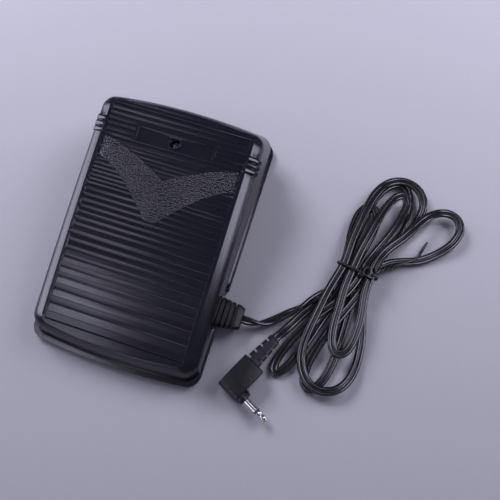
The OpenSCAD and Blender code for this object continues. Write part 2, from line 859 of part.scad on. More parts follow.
module drive_fork() {
  color([0.86, 0.86, 0.84])
    difference() {
      union() {
        box(-8, 16, -11.4, -4.6, fork_seat_z - 2, fork_seat_z);
        box(4, 7, -12.6, -5.4, 11, fork_seat_z - 1);
        across(7, 10)
          polygon([[-6.6, fork_seat_z - 1], [-5.4, fork_seat_z - 1], [-5.4, 14]]);
      }
      for (x = fork_screw_x)
        post(x, fork_screw_y, fork_seat_z - 3, fork_seat_z + 1, 1.3);
      box(3, 8, -14, slider_y + 1.6, slider_z - finger_r - 0.35, slider_z + finger_r + 0.35);
    }
}

module fork_screws() {
  color(steel)
    for (x = fork_screw_x)
      translate([x, fork_screw_y, fork_seat_z - 2])
        mirror([0, 0, 1])
          pan_screw(2.1, 1.4, 1.05, 4.4);
}

// ---- cord outlet ----

module cord_boot() {
  color(soft_black)
    translate([0, boot_y, 0])
      rotate([90, 0, 90])
        stacked_solid(boot_sections());
}

boot_z = base_lift + boot_tall / 2;
boot_corner = 2.6;
boot_m = 4;
boot_body_x = 49.2;
ring_pitch = (boot_end - boot_body_x) / boot_rings;
ring_gap = 0.8;
ring_core = 0.72;
function boot_w(x) = boot_root + (boot_tip - boot_root) * (x - boot_body_x) / (boot_end - boot_body_x);
function boot_h(x) = boot_tall + (boot_low - boot_tall) * (x - boot_body_x) / (boot_end - boot_body_x);
function boot_ring(x, w, h, r) = [for (p = round_rect(w, h, r, boot_m)) [p[0], p[1] + boot_z, x]];
function boot_full(x, k) = boot_ring(x, boot_w(x) - k, boot_h(x) - k, boot_corner - k / 2);
function boot_thin(x) = boot_ring(x, boot_w(x) * ring_core, boot_h(x) * ring_core, boot_corner * ring_core);
function boot_sections() = concat(
  [
    boot_ring(38.7, 15.4, 4.8, 1.6),
    boot_ring(40.8, 15.4, 4.8, 1.6),
    boot_ring(40.85, 2 * boot_hole_y - 0.4, 4.4, 1.6),
    boot_ring(43.4, 2 * boot_hole_y - 0.4, 4.4, 1.6),
    boot_ring(43.45, boot_root, boot_tall, boot_corner),
    boot_ring(boot_body_x - ring_gap, boot_root, boot_tall, boot_corner)
  ],
  [for (k = [0 : boot_rings - 1])
    for (s = [0, 1, 2, 3, 4, 5])
    let (x0 = boot_body_x + k * ring_pitch, x1 = x0 + ring_pitch - (k == boot_rings - 1 ? 0 : ring_gap))
    s == 0 ? boot_thin(x0 - ring_gap + 0.05) : s == 1 ? boot_thin(x0 - 0.05) : s == 2 ? boot_full(x0, 0.5)
      : s == 3 ? boot_full(x0 + 0.25, 0) : s == 4 ? boot_full(x1 - (k == boot_rings - 1 ? 1.2 : 0.25), 0)
      : boot_full(x1, k == boot_rings - 1 ? 2.6 : 0.5)]
);

// ---- swept tubes ----

function unit(v) = v / norm(v);
function heading(p, i) = unit(p[min(i + 1, len(p) - 1)] - p[max(i - 1, 0)]);
function side_of(t) = unit(cross([0, 0, 1], t));
function tube_ring(p, i, shape) =
  let (t = heading(p, i), s = side_of(t), u = cross(t, s)) [for (q = shape) p[i] + q[0] * s + q[1] * u];
function round_shape(r, n) = [for (i = [0 : n - 1]) r * [cos(360 * i / n), sin(360 * i / n)]];
function flat_shape(w, h, n) = [for (i = [0 : n - 1]) let (a = 360 * (i + 0.5) / n)
  [max(-w / 2, min(w / 2, (w - h) / 2 * sign(cos(a)) + h / 2 * cos(a))), h / 2 * sin(a)]];

module swept(path, shape) {
  n = len(shape);
  last = (len(path) - 1) * n;
  polyhedron(
    points = [for (i = [0 : len(path) - 1]) for (q = tube_ring(path, i, shape)) q],
    faces = concat(
      [for (k = [0 : len(path) - 2])
        for (i = [0 : n - 1])
        for (t = [0, 1])
        let (a = k * n + i, b = k * n + (i + 1) % n, c = a + n, d = b + n)
        t == 0 ? [a, c, d] : [a, d, b]],
      [for (i = [1 : n - 2]) [0, i, i + 1]],
      [for (i = [1 : n - 2]) [last, last + i + 1, last + i]]
    )
  );
}

// ---- cord ----

lie_z = 1.4;
// Middle of the tied waist, and the direction of the strands in it
waist = [112, 14];
waist_heading = 80;
// Where each strand crosses the waist: [across, height]
crossings = [
  [-7.9, 4.3],
  [-2.65, 1.4],
  [2.65, 4.3],
  [2.65, 7.2],
  [7.9, 7.2],
  [7.9, 1.4],
  [-7.9, 7.2],
  [2.65, 1.4],
  [-2.65, 7.2],
  [-7.9, 1.4]
];
// One lobe after the other, up and down in turn:
// [reach, heading, half width, side, height going out, height at the fold, height coming back]
lobes = [
  [38, 82.8, 5.2, 1, 4.3, 4.28, 4.3],
  [69.1, -112.9, 5.07, 1, 1.4, 1.4, 4.29],
  [48.7, 70.3, 4.99, -1, 4.39, 7.2, 7.65],
  [46.9, -87.9, 5.67, -1, 7.2, 5.3, 4.65],
  [68.5, 46.9, 8.86, 1, 7.29, 1.83, 1.4],
  [68.2, -92.5, 15.59, 1, 1.4, 4.42, 7.52],
  [63.5, 77, 12.05, 1, 10.6, 5.46, 1.41],
  [68.9, -94.2, 7.13, 1, 1.4, 1.4, 7.16],
  [61.1, 81.6, 4.7, 1, 10.02, 1.4, 1.4]
];
lobe_steps = 12;
// Straight tails below the waist where the hank meets its two leads
tail_steps = [17, 12, 8, 4];

function ease(x) = let (c = max(0, min(1, x))) c * c * (3 - 2 * c);
function waist_point(b, a, z) = [
  waist[0] + b * sin(waist_heading) + a * cos(waist_heading),
  waist[1] - b * cos(waist_heading) + a * sin(waist_heading),
  z
];
function lobe_point(k, phi) =
  let (
    l = lobes[k],
    start = waist_heading - (k % 2) * 180,
    t = (1 - cos(phi)) / 2,
    h = start + (l[1] - start) * ease(2 * t),
    a = l[0] * t,
    b = l[3] * l[2] / 0.65 * sin(phi) * t,
    across = crossings[k][0] + (crossings[k + 1][0] - crossings[k][0]) * ease(phi / 360),
    z0 = phi < 180 ? crossings[k][1] : crossings[k + 1][1],
    z1 = phi < 180 ? l[4] : l[6],
    z = z0 + (z1 - z0) * ease(t / 0.3) + (l[5] - z1) * ease((t - 0.55) / 0.4)
  )
  waist_point(across, 0, z) + [a * cos(h) - b * sin(h), a * sin(h) + b * cos(h), 0];

function hank_path() = concat(
  [for (a = tail_steps) waist_point(crossings[0][0], -a, crossings[0][1])],
  [for (k = [0 : len(lobes) - 1])
    for (i = [0 : lobe_steps - 1])
    lobe_point(k, 360 * i / lobe_steps)],
  [waist_point(crossings[len(lobes)][0], 0, crossings[len(lobes)][1])],
  [for (i = [len(tail_steps) - 1 : -1 : 0])
    waist_point(crossings[len(lobes)][0], -tail_steps[i], crossings[len(lobes)][1])]
);

// Least gap between strands that are not neighbours, measured on the ring centres and midway between them
hank_points = hank_path();
gap_points = [for (i = [0 : len(hank_points) - 2]) for (t = [0, 0.5])
  hank_points[i] * (1 - t) + hank_points[i + 1] * t];
gap_skip = 4;
function far_gap(p, q) =
  max(norm([p[0] - q[0], p[1] - q[1]]) - cord_width, abs(p[2] - q[2]) - cord_thick);
function run_between(i, j) =
  run_sum([for (k = [i : j - 1]) norm(gap_points[k + 1] - gap_points[k])], j - i - 1);
echo(least_gap = min([for (i = [0 : len(gap_points) - 2])
  for (j = [i + gap_skip : len(gap_points) - 1])
  if (j > i + 8 || run_between(i, j) > 3 * cord_width) far_gap(gap_points[i], gap_points[j])]));

module cord_hank() {
  color(soft_black)
    swept(hank_points, flat_shape(cord_width, cord_thick, 6));
}

boot_lead_route = [
  [60.5, -29.9, 5.6],
  [64, -29.9, 5.4],
  [67.4, -29.8, 4.4],
  [70.6, -29, 3.2],
  [74, -27.2, 2.6],
  [77.4, -24.4, 2.9],
  [80.8, -21.4, 3.8],
  [84, -18.4, 4.5],
  [87.2, -15.3, 4.5],
  [90.6, -11.4, 4.5],
  [94, -7.4, 4.5],
  [97.2, -3.6, 4.5]
];

module cord_lead() {
  color(soft_black)
    swept(concat(boot_lead_route, [hank_points[0]]), flat_shape(cord_width, cord_thick, 10));
}

plug_lead_route = [
  [80.4, -34, 4.7],
  [82, -31.6, 4.2],
  [83.6, -29.2, 3],
  [85.2, -26.6, 1.9],
  [86.8, -23.6, 1.5],
  [88.8, -19.8, 1.4],
  [91, -16, 1.4],
  [93.2, -13, 1.4],
  [95.6, -9.9, 1.4],
  [98.2, -7, 1.4],
  [100.8, -4.2, 1.4]
];

module plug_lead() {
  color(soft_black)
    swept(concat(plug_lead_route, [hank_points[len(hank_points) - 1]]),
      flat_shape(cord_width, cord_thick, 10));
}

// Twisted wire tie round the waist, its long end lying along the hank
tie_r = 0.8;
tie_half = 11.6;
tie_top = 10.2;
tie_n = 20;
function tie_point(a) =
  let (c = cos(a), s = sin(a), e = 0.6)
  let (low = lie_z - 0.5, rise = 0.5 + 0.5 * sign(s) * pow(abs(s), e))
  [sign(c) * pow(abs(c), e) * tie_half, low + (tie_top - low) * rise];
tie_tail = [
  [14.5, 4, 9.6], [17.5, 7, 9.2], [21, 10, 9], [25, 13.4, 8.6],
  [29, 17.4, 8.4], [32, 21.5, 8.8], [33.5, 26, 9.6]
];
function tie_path() = concat(
  [waist_point(14, -5.4, 6.4), waist_point(13.6, -2.6, 7)],
  [
    for (i = [1 : tie_n - 1])
    let (p = tie_point(360 * i / tie_n - 20))
    waist_point(p[0], 1.6 * i / tie_n - 0.8, p[1])
  ],
  [for (p = tie_tail) waist_point(p[0], p[1], p[2])]
);

module hank_tie() {
  color(soft_black)
    swept(tie_path(), round_shape(tie_r, 6));
}

// ---- plug, drawn with the pin along its own X ----

module in_plug() {
  translate([plug_at[0], plug_at[1], plug_z])
    rotate([0, 0, plug_heading])
      children();
}

body_x = [-6.6, 6.6];
body_y = [-4.4, 16.6];
body_half_z = 4.65;
relief_x = -1.2;
relief_end = 33.7;
relief_teeth = 4;
relief_pitch = (relief_end - body_y[1]) / relief_teeth;
relief_wide = [8.6, 6];
relief_tall = [7, 4.6];
relief_gap = 1.3;
collar_end = 10;
sleeve_end = 17.2;
insulator_end = 18.3;
tip_end = 25;

function body_ring(z, k) =
  [for (p = round_rect(body_x[1] - body_x[0] - 2 * k, body_y[1] - body_y[0] - 2 * k, 2.6 - k * 0.7, 4))
    [p[0] + (body_x[0] + body_x[1]) / 2, p[1] + (body_y[0] + body_y[1]) / 2, z]];

module plug_body() {
  color(soft_black)
    in_plug()
      stacked_solid([
        body_ring(-body_half_z, 1.2),
        body_ring(-body_half_z + 0.5, 0.45),
        body_ring(-body_half_z + 1.4, 0),
        body_ring(body_half_z - 1.4, 0),
        body_ring(body_half_z - 0.5, 0.45),
        body_ring(body_half_z, 1.2)
      ]);
}

function relief_ring(y, k) =
  let (t = (y - body_y[1]) / (relief_end - body_y[1]))
  let (w = relief_wide[0] + (relief_wide[1] - relief_wide[0]) * t)
  let (h = relief_tall[0] + (relief_tall[1] - relief_tall[0]) * t)
  [for (p = round_rect(w * k, h * k, 1.6 * k, 3)) [p[0] + relief_x, p[1], y]];

module plug_relief() {
  color(soft_black)
    in_plug()
      mirror([0, 0, 1])
        rotate([-90, 0, 0])
          stacked_solid(concat(
            [for (i = [0 : relief_teeth - 1])
              for (s = [0 : 3])
              let (y0 = body_y[1] + i * relief_pitch)
              s == 0 ? relief_ring(y0 + eps, 0.66)
                : s == 1 ? relief_ring(y0 + relief_gap, 0.66)
                : s == 2 ? relief_ring(y0 + relief_gap + eps, 1)
                : relief_ring(y0 + relief_pitch - eps * 2, 1)]
          ));
}

module turned(points) {
  in_plug()
    rotate([0, 90, 0])
      rotate_extrude($fn = 48)
        polygon(points);
}

module plug_collar() {
  color(soft_black)
    turned([
      [0, body_x[1]], [4.1, body_x[1]], [4.1, 8], [3.7, 8.2],
      [3.6, collar_end - 0.4], [3.2, collar_end], [0, collar_end]
    ]);
}

module plug_sleeve() {
  color(steel)
    turned([[0, collar_end], [plug_r, collar_end], [plug_r, sleeve_end], [0, sleeve_end]]);
}

module plug_insulator() {
  color(soft_black)
    turned([[0, sleeve_end], [plug_r, sleeve_end], [plug_r, insulator_end], [0, insulator_end]]);
}

module plug_tip() {
  color(steel)
    turned([[0, insulator_end], [plug_r, insulator_end], [plug_r, 19.2], [1.25, 20.6], [1.3, 21.2],
      [plug_r, 22.4], [plug_r - 0.15, 22.9], [0.5, tip_end - 0.3], [0, tip_end]]);
}

base_tray();
rubber_feet();
hinge_pins();
return_springs();
circuit_board();
board_screws();
ballast_resistor();
capacitors();
terminal_block();
slide_potentiometer();
cord_clamp();
clamp_screws();
internal_leads();
treadle_cover();
stop_hook();
centre_screw();
drive_fork();
fork_screws();
potentiometer_slider();
cord_boot();
cord_lead();
cord_hank();
hank_tie();
plug_lead();
plug_relief();
plug_body();
plug_collar();
plug_sleeve();
plug_insulator();
plug_tip();
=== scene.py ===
import math

import bmesh
import bpy
from bpy.props import FloatProperty, FloatVectorProperty, IntProperty, PointerProperty
from mathutils import Matrix, Vector


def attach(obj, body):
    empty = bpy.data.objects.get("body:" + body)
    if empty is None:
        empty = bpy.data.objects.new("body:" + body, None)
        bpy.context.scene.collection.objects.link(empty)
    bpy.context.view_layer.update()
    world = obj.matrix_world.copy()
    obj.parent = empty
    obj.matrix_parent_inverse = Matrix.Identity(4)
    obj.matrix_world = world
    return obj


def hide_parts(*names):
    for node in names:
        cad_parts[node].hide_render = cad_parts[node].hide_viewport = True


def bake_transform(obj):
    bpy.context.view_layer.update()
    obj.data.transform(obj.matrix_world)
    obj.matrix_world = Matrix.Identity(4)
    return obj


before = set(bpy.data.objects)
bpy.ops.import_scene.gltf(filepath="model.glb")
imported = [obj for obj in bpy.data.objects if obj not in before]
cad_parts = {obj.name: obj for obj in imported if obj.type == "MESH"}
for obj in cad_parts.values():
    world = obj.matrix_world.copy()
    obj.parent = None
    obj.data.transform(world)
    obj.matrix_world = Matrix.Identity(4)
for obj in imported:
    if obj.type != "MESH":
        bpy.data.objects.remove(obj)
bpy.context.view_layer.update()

bl_info = {
    "name": "Sewing Machine Foot Pedal",
    "version": (1, 0, 0),
    "blender": (4, 5, 0),
    "location": "View3D > Sidebar > Foot Pedal",
    "description": "Builds a ribbed treadle pedal with its tied twin cord and right-angle jack plug",
    "category": "Object",
}

MM = 0.001
# A metre in millimetres
METRE = 1000.0


# ---- sizes and colours that a user would change ----


class TwinCordSizes(bpy.types.PropertyGroup):
    width: FloatProperty(
        name="Width", description="Width across both cores",
        default=4.7 * MM, min=0.002, max=0.01, unit="LENGTH",
    )
    thickness: FloatProperty(
        name="Thickness", description="Thickness over one core",
        default=2.3 * MM, min=0.001, max=0.006, unit="LENGTH",
    )
    groove: FloatProperty(
        name="Groove", description="Angle from a core's outer side round to the web",
        default=math.radians(150), min=math.radians(110), max=math.radians(170), subtype="ANGLE",
    )


class PlugSizes(bpy.types.PropertyGroup):
    heading: FloatProperty(
        name="Heading", description="Direction of the jack pin in plan",
        default=math.radians(-27), subtype="ANGLE",
    )
    pin_radius: FloatProperty(
        name="Pin radius", description="Radius of the jack pin",
        default=1.75 * MM, min=0.001, max=0.004, unit="LENGTH",
    )
    relief_slots: IntProperty(
        name="Relief slots", description="Slots on one side of the strain relief; the other has one less",
        default=4, min=1, max=8,
    )


class FinishColours(bpy.types.PropertyGroup):
    shell: FloatVectorProperty(
        name="Moulding", description="Black of the treadle and base",
        default=(0.0036, 0.0034, 0.0105), min=0, max=1, subtype="COLOR",
    )
    # This grey goes on the tips of the stipple dots: partly the stipple's own grey, partly a painted
    # highlight on each dot.
    grain: FloatVectorProperty(
        name="Stipple", description="Grey of the tips of the stippled V",
        default=(0.062, 0.0605, 0.077), min=0, max=1, subtype="COLOR",
    )
    rubber: FloatVectorProperty(
        name="Soft plastic", description="Black of the boot and plug",
        default=(0.0048, 0.0045, 0.0075), min=0, max=1, subtype="COLOR",
    )
    cable: FloatVectorProperty(
        name="Cable", description="Black of the cord's jacket",
        default=(0.004, 0.0038, 0.0065), min=0, max=1, subtype="COLOR",
    )
    nickel: FloatVectorProperty(
        name="Nickel", description="Plating of the jack pin",
        default=(0.78, 0.76, 0.73), min=0, max=1, subtype="COLOR",
    )


class StageSettings(bpy.types.PropertyGroup):
    floor: FloatVectorProperty(
        name="Floor", description="Colour of the floor",
        default=(0.40, 0.395, 0.475), min=0, max=1, subtype="COLOR",
    )
    lens: FloatProperty(
        name="Lens", description="Focal length of the camera",
        default=35.986, min=10, max=200, unit="CAMERA",
    )
    light: FloatProperty(
        name="Light", description="Share of full light from the soft boxes and the surround",
        default=1.0, min=0, max=4, subtype="FACTOR",
    )


# ---- finishes ----

# Turn of a rounded normal over which an edge becomes rubbed
EDGE_TURN = (0.02, 0.3)
# Share of white in the cloudy patches of the glossy blacks
CLOUD_TINT = 0.0025


class Finish:
    """One finish as a node tree, built from short calls."""

    def __init__(self, name, colour, rough, metal=0.0, shine=0.5):
        self.material = bpy.data.materials.new(name)
        self.material.use_nodes = True
        self.tree = self.material.node_tree
        self.tree.nodes.clear()
        self.output = self.node("ShaderNodeOutputMaterial")
        self.shader = self.node("ShaderNodeBsdfPrincipled")
        self.tree.links.new(self.shader.outputs["BSDF"], self.output.inputs["Surface"])
        self.here = self.node("ShaderNodeTexCoord").outputs["Object"]
        self.colour = (*colour, 1)
        self.shader.inputs["Base Color"].default_value = self.colour
        self.shader.inputs["Roughness"].default_value = rough
        self.shader.inputs["Metallic"].default_value = metal
        self.shader.inputs["Specular IOR Level"].default_value = shine
        self.material.diffuse_color = self.colour

    def node(self, kind, **settings):
        made = self.tree.nodes.new(kind)
        for key, value in settings.items():
            setattr(made, key, value)
        return made

    def put(self, value, socket):
        if isinstance(value, bpy.types.NodeSocket):
            self.tree.links.new(value, socket)
        else:
            socket.default_value = value

    def maths(self, operation, *values, clamp=False):
        made = self.node("ShaderNodeMath", operation=operation, use_clamp=clamp)
        for value, socket in zip(values, made.inputs):
            self.put(value, socket)
        return made.outputs[0]

    def stretched(self, scale, turn=0.0):
        made = self.node("ShaderNodeMapping")
        made.inputs["Scale"].default_value = scale
        made.inputs["Rotation"].default_value = (0, 0, turn)
        self.put(self.here, made.inputs["Vector"])
        return made.outputs[0]

    def noise(self, size, detail=2.0, where=None, wander=0.0):
        """Noise whose blotches are about this many millimetres across."""
        made = self.node("ShaderNodeTexNoise")
        self.put(self.here if where is None else where, made.inputs["Vector"])
        made.inputs["Scale"].default_value = METRE / size
        made.inputs["Detail"].default_value = detail
        made.inputs["Distortion"].default_value = wander
        return made.outputs["Fac"]

    def cells(self, size):
        """Distance from scattered points in plan, about this many millimetres apart."""
        made = self.node("ShaderNodeTexVoronoi", voronoi_dimensions="2D", feature="F1")
        self.put(self.here, made.inputs["Vector"])
        made.inputs["Scale"].default_value = METRE / size
        return made.outputs["Distance"]

    def between(self, value, low, high, start=0.0, end=1.0):
        """Runs from start to end as the value goes from low to high."""
        made = self.node("ShaderNodeMapRange")
        for item, socket in zip((value, low, high, start, end), made.inputs):
            self.put(item, socket)
        return made.outputs[0]

    def mix(self, share, first, second):
        made = self.node("ShaderNodeMix", data_type="RGBA")
        self.put(share, made.inputs["Factor"])
        self.put(first, made.inputs["A"])
        self.put(second, made.inputs["B"])
        return made.outputs["Result"]

    def soft_edges(self, radius):
        """A normal that is rounded near edges."""
        made = self.node("ShaderNodeBevel", samples=6)
        made.inputs["Radius"].default_value = radius
        return made.outputs["Normal"]

    def edge_share(self, rounded):
        """0 on flat faces, rising to 1 where the rounded normal turns away from the face."""
        true = self.node("ShaderNodeNewGeometry").outputs["True Normal"]
        made = self.node("ShaderNodeVectorMath", operation="DOT_PRODUCT")
        self.put(rounded, made.inputs[0])
        self.put(true, made.inputs[1])
        return self.between(self.maths("SUBTRACT", 1.0, made.outputs["Value"]), *EDGE_TURN)

    def bump(self, height, depth, strength=1.0, under=None):
        made = self.node("ShaderNodeBump")
        made.inputs["Distance"].default_value = depth
        self.put(strength, made.inputs["Strength"])
        self.put(height, made.inputs["Height"])
        if under is not None:
            self.put(under, made.inputs["Normal"])
        return made.outputs["Normal"]

    def done(self, colour=None, rough=None, normal=None):
        for value, name in ((colour, "Base Color"), (rough, "Roughness"), (normal, "Normal")):
            if value is not None:
                self.put(value, self.shader.inputs[name])
        return self.material


def lighter(colour, share):
    """The colour with this share of white mixed in."""
    return tuple(c + (1 - c) * share for c in colour[:3]) + (1,)


def moulded_plastic(name, colour, rough, grain=0.25, depth=0.012, wear=0.02, soft=0.35):
    """Injection-moulded plastic: a fine spark-eroded grain, cloudy gloss and paler rubbed edges."""
    f = Finish(name, colour, rough, shine=0.55)
    fine = f.noise(grain, 3)
    cloud = f.noise(26, 4, wander=0.4)
    rub = f.noise(5, 5, f.stretched((1, 0.16, 1)))
    rounded = f.soft_edges(soft * MM)
    edge = f.maths("MULTIPLY", f.edge_share(rounded), f.between(rub, 0.35, 0.7, 0.2, 1.0))
    tint = f.mix(f.between(cloud, 0.35, 0.7), f.colour, lighter(colour, CLOUD_TINT))
    tint = f.mix(edge, tint, lighter(colour, wear))
    clouded = f.between(cloud, 0.3, 0.7, rough - 0.015, rough + 0.02)
    rubbed = f.between(rub, 0.3, 0.75, -0.01, 0.015)
    gloss = f.maths("ADD", clouded, rubbed)
    return f, tint, gloss, f.bump(fine, depth * MM, under=rounded)


# The V's heel and toe edges, in millimetres: tip, reach of the ends beyond it, blunt half width
VEE_OUTER = (1.9, 26.4, 3.0)
VEE_INNER = (24.5, 15.2, 0.0)
VEE_HALF = 37.6
VEE_CURVE = 1.45
# Where the stipple fades in at the V's long edges, and out at its ends
VEE_FADE = (-0.1, 0.4)
VEE_END_FADE = (VEE_HALF - 0.3, VEE_HALF + 0.1)
# Upward part of a normal that starts to take the stipple
FACING_UP = (0.5, 0.8)
STIPPLE_APART = 0.95
STIPPLE_DEPTH = 0.35 * MM
STIPPLE_ROUGHER = 0.02
# Height of a stipple dot over which it turns to the paler colour, which is partly the stipple's own grey and
# partly a painted highlight on the dot
STIPPLE_TIP = (0.7, 0.88)
# Beyond this half width the bevels' outer edge is rolled over, but not at the grip beads
BRIM_START = 41.8
BRIM_FADE = 0.4
BRIM_RADIUS = 3.4 * MM
# Middle and half length of the stretch that the grip beads take
BEADS_AT = 45.2
BEADS_HALF = 5.0
BEADS_FADE = 0.5


def rolled_brim(f, across, along, plain):
    """The plain normal, with a wide rounding over the bevels' outer edges away from the beads."""
    brim = f.node("ShaderNodeMix", data_type="VECTOR")
    from_beads = f.maths("ABSOLUTE", f.maths("SUBTRACT", along, BEADS_AT))
    rolled = f.maths(
        "MULTIPLY",
        f.between(across, BRIM_START - BRIM_FADE, BRIM_START),
        f.between(from_beads, BEADS_HALF, BEADS_HALF + BEADS_FADE),
    )
    f.put(rolled, brim.inputs["Factor"])
    # Inputs 4 and 5 are the vectors A and B
    f.put(plain, brim.inputs[4])
    f.put(f.soft_edges(BRIM_RADIUS), brim.inputs[5])
    return brim.outputs[1]


def vee_edge(f, across, tip, rise, blunt):
    """How far along the treadle one edge of the V lies."""
    beyond = f.maths("MAXIMUM", f.maths("SUBTRACT", across, blunt), 0.0)
    share = f.maths("DIVIDE", beyond, VEE_HALF - blunt)
    bent = f.maths("POWER", f.maths("SUBTRACT", 1.0, share, clamp=True), VEE_CURVE)
    return f.maths("ADD", tip, f.maths("MULTIPLY", rise, f.maths("SUBTRACT", 1.0, bent)))


def vee_share(f, across, along):
    """1 on the faces of the V that look up, 0 elsewhere."""
    inside = f.maths(
        "MULTIPLY",
        f.between(f.maths("SUBTRACT", along, vee_edge(f, across, *VEE_OUTER)), *VEE_FADE),
        f.between(f.maths("SUBTRACT", vee_edge(f, across, *VEE_INNER), along), *VEE_FADE),
    )
    inside = f.maths("MULTIPLY", inside, f.between(across, *VEE_END_FADE, 1.0, 0.0))
    facing = f.node("ShaderNodeNewGeometry").outputs["Normal"]
    upward = f.node("ShaderNodeSeparateXYZ")
    f.put(facing, upward.inputs[0])
    return f.maths("MULTIPLY", inside, f.between(upward.outputs[2], *FACING_UP))


def treadle_black(colours):
    """The shell's black with the stippled V let into the treads, its dot tips paler: partly the V's own
    grey, partly painted highlight.
    """
    f, tint, gloss, plain = moulded_plastic(
        "treadle_moulding", colours.shell, 0.2, grain=0.22, depth=0.007, wear=0.003, soft=0.22,
    )
    apart = f.node("ShaderNodeSeparateXYZ")
    f.put(f.here, apart.inputs[0])
    across = f.maths("MULTIPLY", f.maths("ABSOLUTE", apart.outputs[0]), METRE)
    along = f.maths("MULTIPLY", apart.outputs[1], METRE)
    brimmed = rolled_brim(f, across, along, plain)
    inside = vee_share(f, across, along)
    pebble = f.maths("SUBTRACT", 1.0, f.cells(STIPPLE_APART))
    stippled = f.bump(pebble, STIPPLE_DEPTH, strength=inside, under=brimmed)
    # The dot tips take the paler grey: partly the stipple's own colour, partly a painted highlight on each
    # dot
    glint_tips = f.maths("MULTIPLY", inside, f.between(pebble, *STIPPLE_TIP))
    tint = f.mix(glint_tips, tint, (*colours.grain, 1))
    gloss = f.maths("ADD", gloss, f.maths("MULTIPLY", inside, STIPPLE_ROUGHER))
    return f.done(tint, gloss, stippled)


def shell_black(colours):
    """The base's black."""
    f, tint, gloss, normal = moulded_plastic("base_moulding", colours.shell, 0.22, wear=0.006)
    return f.done(tint, gloss, normal)


def soft_black(name, colours, rough):
    """Soft matt plastic of the boot, plug and feet, with a dusty bloom."""
    f = Finish(name, colours.rubber, rough, shine=0.4)
    fine = f.noise(0.18, 3)
    bloom = f.noise(7, 5, wander=0.6)
    rounded = f.soft_edges(0.3 * MM)
    tint = f.mix(f.between(bloom, 0.35, 0.75), f.colour, lighter(colours.rubber, 0.003))
    tint = f.mix(f.edge_share(rounded), tint, lighter(colours.rubber, 0.012))
    gloss = f.between(bloom, 0.3, 0.7, rough - 0.05, rough + 0.06)
    return f.done(tint, gloss, f.bump(fine, 0.012 * MM, under=rounded))


def cable_black(colours, name, rough):
    """Shiny cable jacket: faint ripples from the extruder and rubbed patches."""
    f = Finish(name, colours.cable, rough, shine=0.9)
    ripple = f.noise(1.6, 2)
    rub = f.noise(9, 4, wander=0.5)
    tint = f.mix(f.between(rub, 0.4, 0.7), f.colour, lighter(colours.cable, CLOUD_TINT))
    gloss = f.between(rub, 0.3, 0.75, rough - 0.02, rough + 0.06)
    skin = f.maths("ADD", ripple, f.maths("MULTIPLY", f.noise(0.3, 2), 0.2))
    return f.done(tint, gloss, f.bump(skin, 0.0025 * MM))


def turned_nickel(colours, heading):
    """Nickel plate over lathe marks that run round the pin."""
    f = Finish("pin_nickel", colours.nickel, 0.16, metal=1.0)
    marks = f.noise(1.0, 3, f.stretched((9, 0.6, 0.6), -heading))
    haze = f.noise(2.4, 4)
    tint = f.mix(f.between(haze, 0.4, 0.75, 0.0, 0.5), f.colour, (0.52, 0.5, 0.47, 1))
    gloss = f.maths("ADD", f.between(haze, 0.3, 0.75, 0.12, 0.24), f.between(marks, 0.3, 0.7, -0.03, 0.05))
    return f.done(tint, gloss, f.bump(marks, 0.006 * MM))


def plated_steel(name, colour=(0.55, 0.56, 0.58), rough=0.32, tarnish=(0.35, 0.34, 0.3)):
    """Zinc-plated or bare steel, cloudy with handling."""
    f = Finish(name, colour, rough, metal=1.0)
    cloud = f.noise(1.8, 4, wander=0.8)
    scratch = f.noise(0.7, 3, f.stretched((1, 0.1, 0.4)))
    tint = f.mix(f.between(cloud, 0.4, 0.8, 0.0, 0.7), f.colour, (*tarnish, 1))
    clouded = f.between(cloud, 0.3, 0.7, rough - 0.08, rough + 0.1)
    gloss = f.maths("ADD", clouded, f.between(scratch, 0.4, 0.7, 0.0, 0.06))
    return f.done(tint, gloss, f.bump(scratch, 0.008 * MM, under=f.soft_edges(0.15 * MM)))


def plain_moulding(name, colour, rough, second, size):
    """Coloured part of the works: blotched with a second colour, uneven gloss and a fine skin."""
    f = Finish(name, colour, rough)
    cloud = f.noise(size, 4, wander=0.5)
    tint = f.mix(f.between(cloud, 0.35, 0.7), f.colour, (*second, 1))
    gloss = f.between(cloud, 0.3, 0.7, rough - 0.06, rough + 0.08)
    return f.done(tint, gloss, f.bump(f.noise(0.3, 3), 0.01 * MM, under=f.soft_edges(0.2 * MM)))


def floor_finish(colour):
    """Matt paper floor with a trace of fibre."""
    f = Finish("floor_paper", colour, 0.85, shine=0.25)
    fibre = f.noise(3, 4)
    darker = tuple(c * 0.985 for c in colour) + (1,)
    tint = f.mix(f.between(fibre, 0.3, 0.7), f.colour, darker)
    return f.done(tint, f.between(fibre, 0.3, 0.7, 0.82, 0.9), f.bump(fibre, 0.01 * MM))


# ---- making pieces ----

# Angle in degrees from which edges of swept pieces look sharp
ROUND_CREASE = 50.0


def add_object(name, data):
    made = bpy.data.objects.new(name, data)
    bpy.context.scene.collection.objects.link(made)
    return made


def mesh_object(name, shape):
    """Turns a bmesh into an object."""
    data = bpy.data.meshes.new(name)
    shape.to_mesh(data)
    shape.free()
    return add_object(name, data)


def add_piece(name, shape, material, body, nodes, crease=30.0):
    """Turns a bmesh into a finished piece that rides on its body and stands for its solids."""
    bmesh.ops.remove_doubles(shape, verts=shape.verts, dist=1e-6)
    bmesh.ops.recalc_face_normals(shape, faces=shape.faces)
    return dress(mesh_object(name, shape), material, body, nodes, crease)


def shade(data, crease):
    """Smooth shading, apart from edges that turn by more than the crease in degrees."""
    data.shade_smooth()
    data.set_sharp_from_angle(angle=math.radians(crease))


def dress(piece, material, body, nodes, crease):
    """Gives a piece its material and shading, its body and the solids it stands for."""
    piece.data.materials.clear()
    piece.data.materials.append(material)
    shade(piece.data, crease)
    if body:
        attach(piece, body)
    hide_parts(*nodes)
    return piece


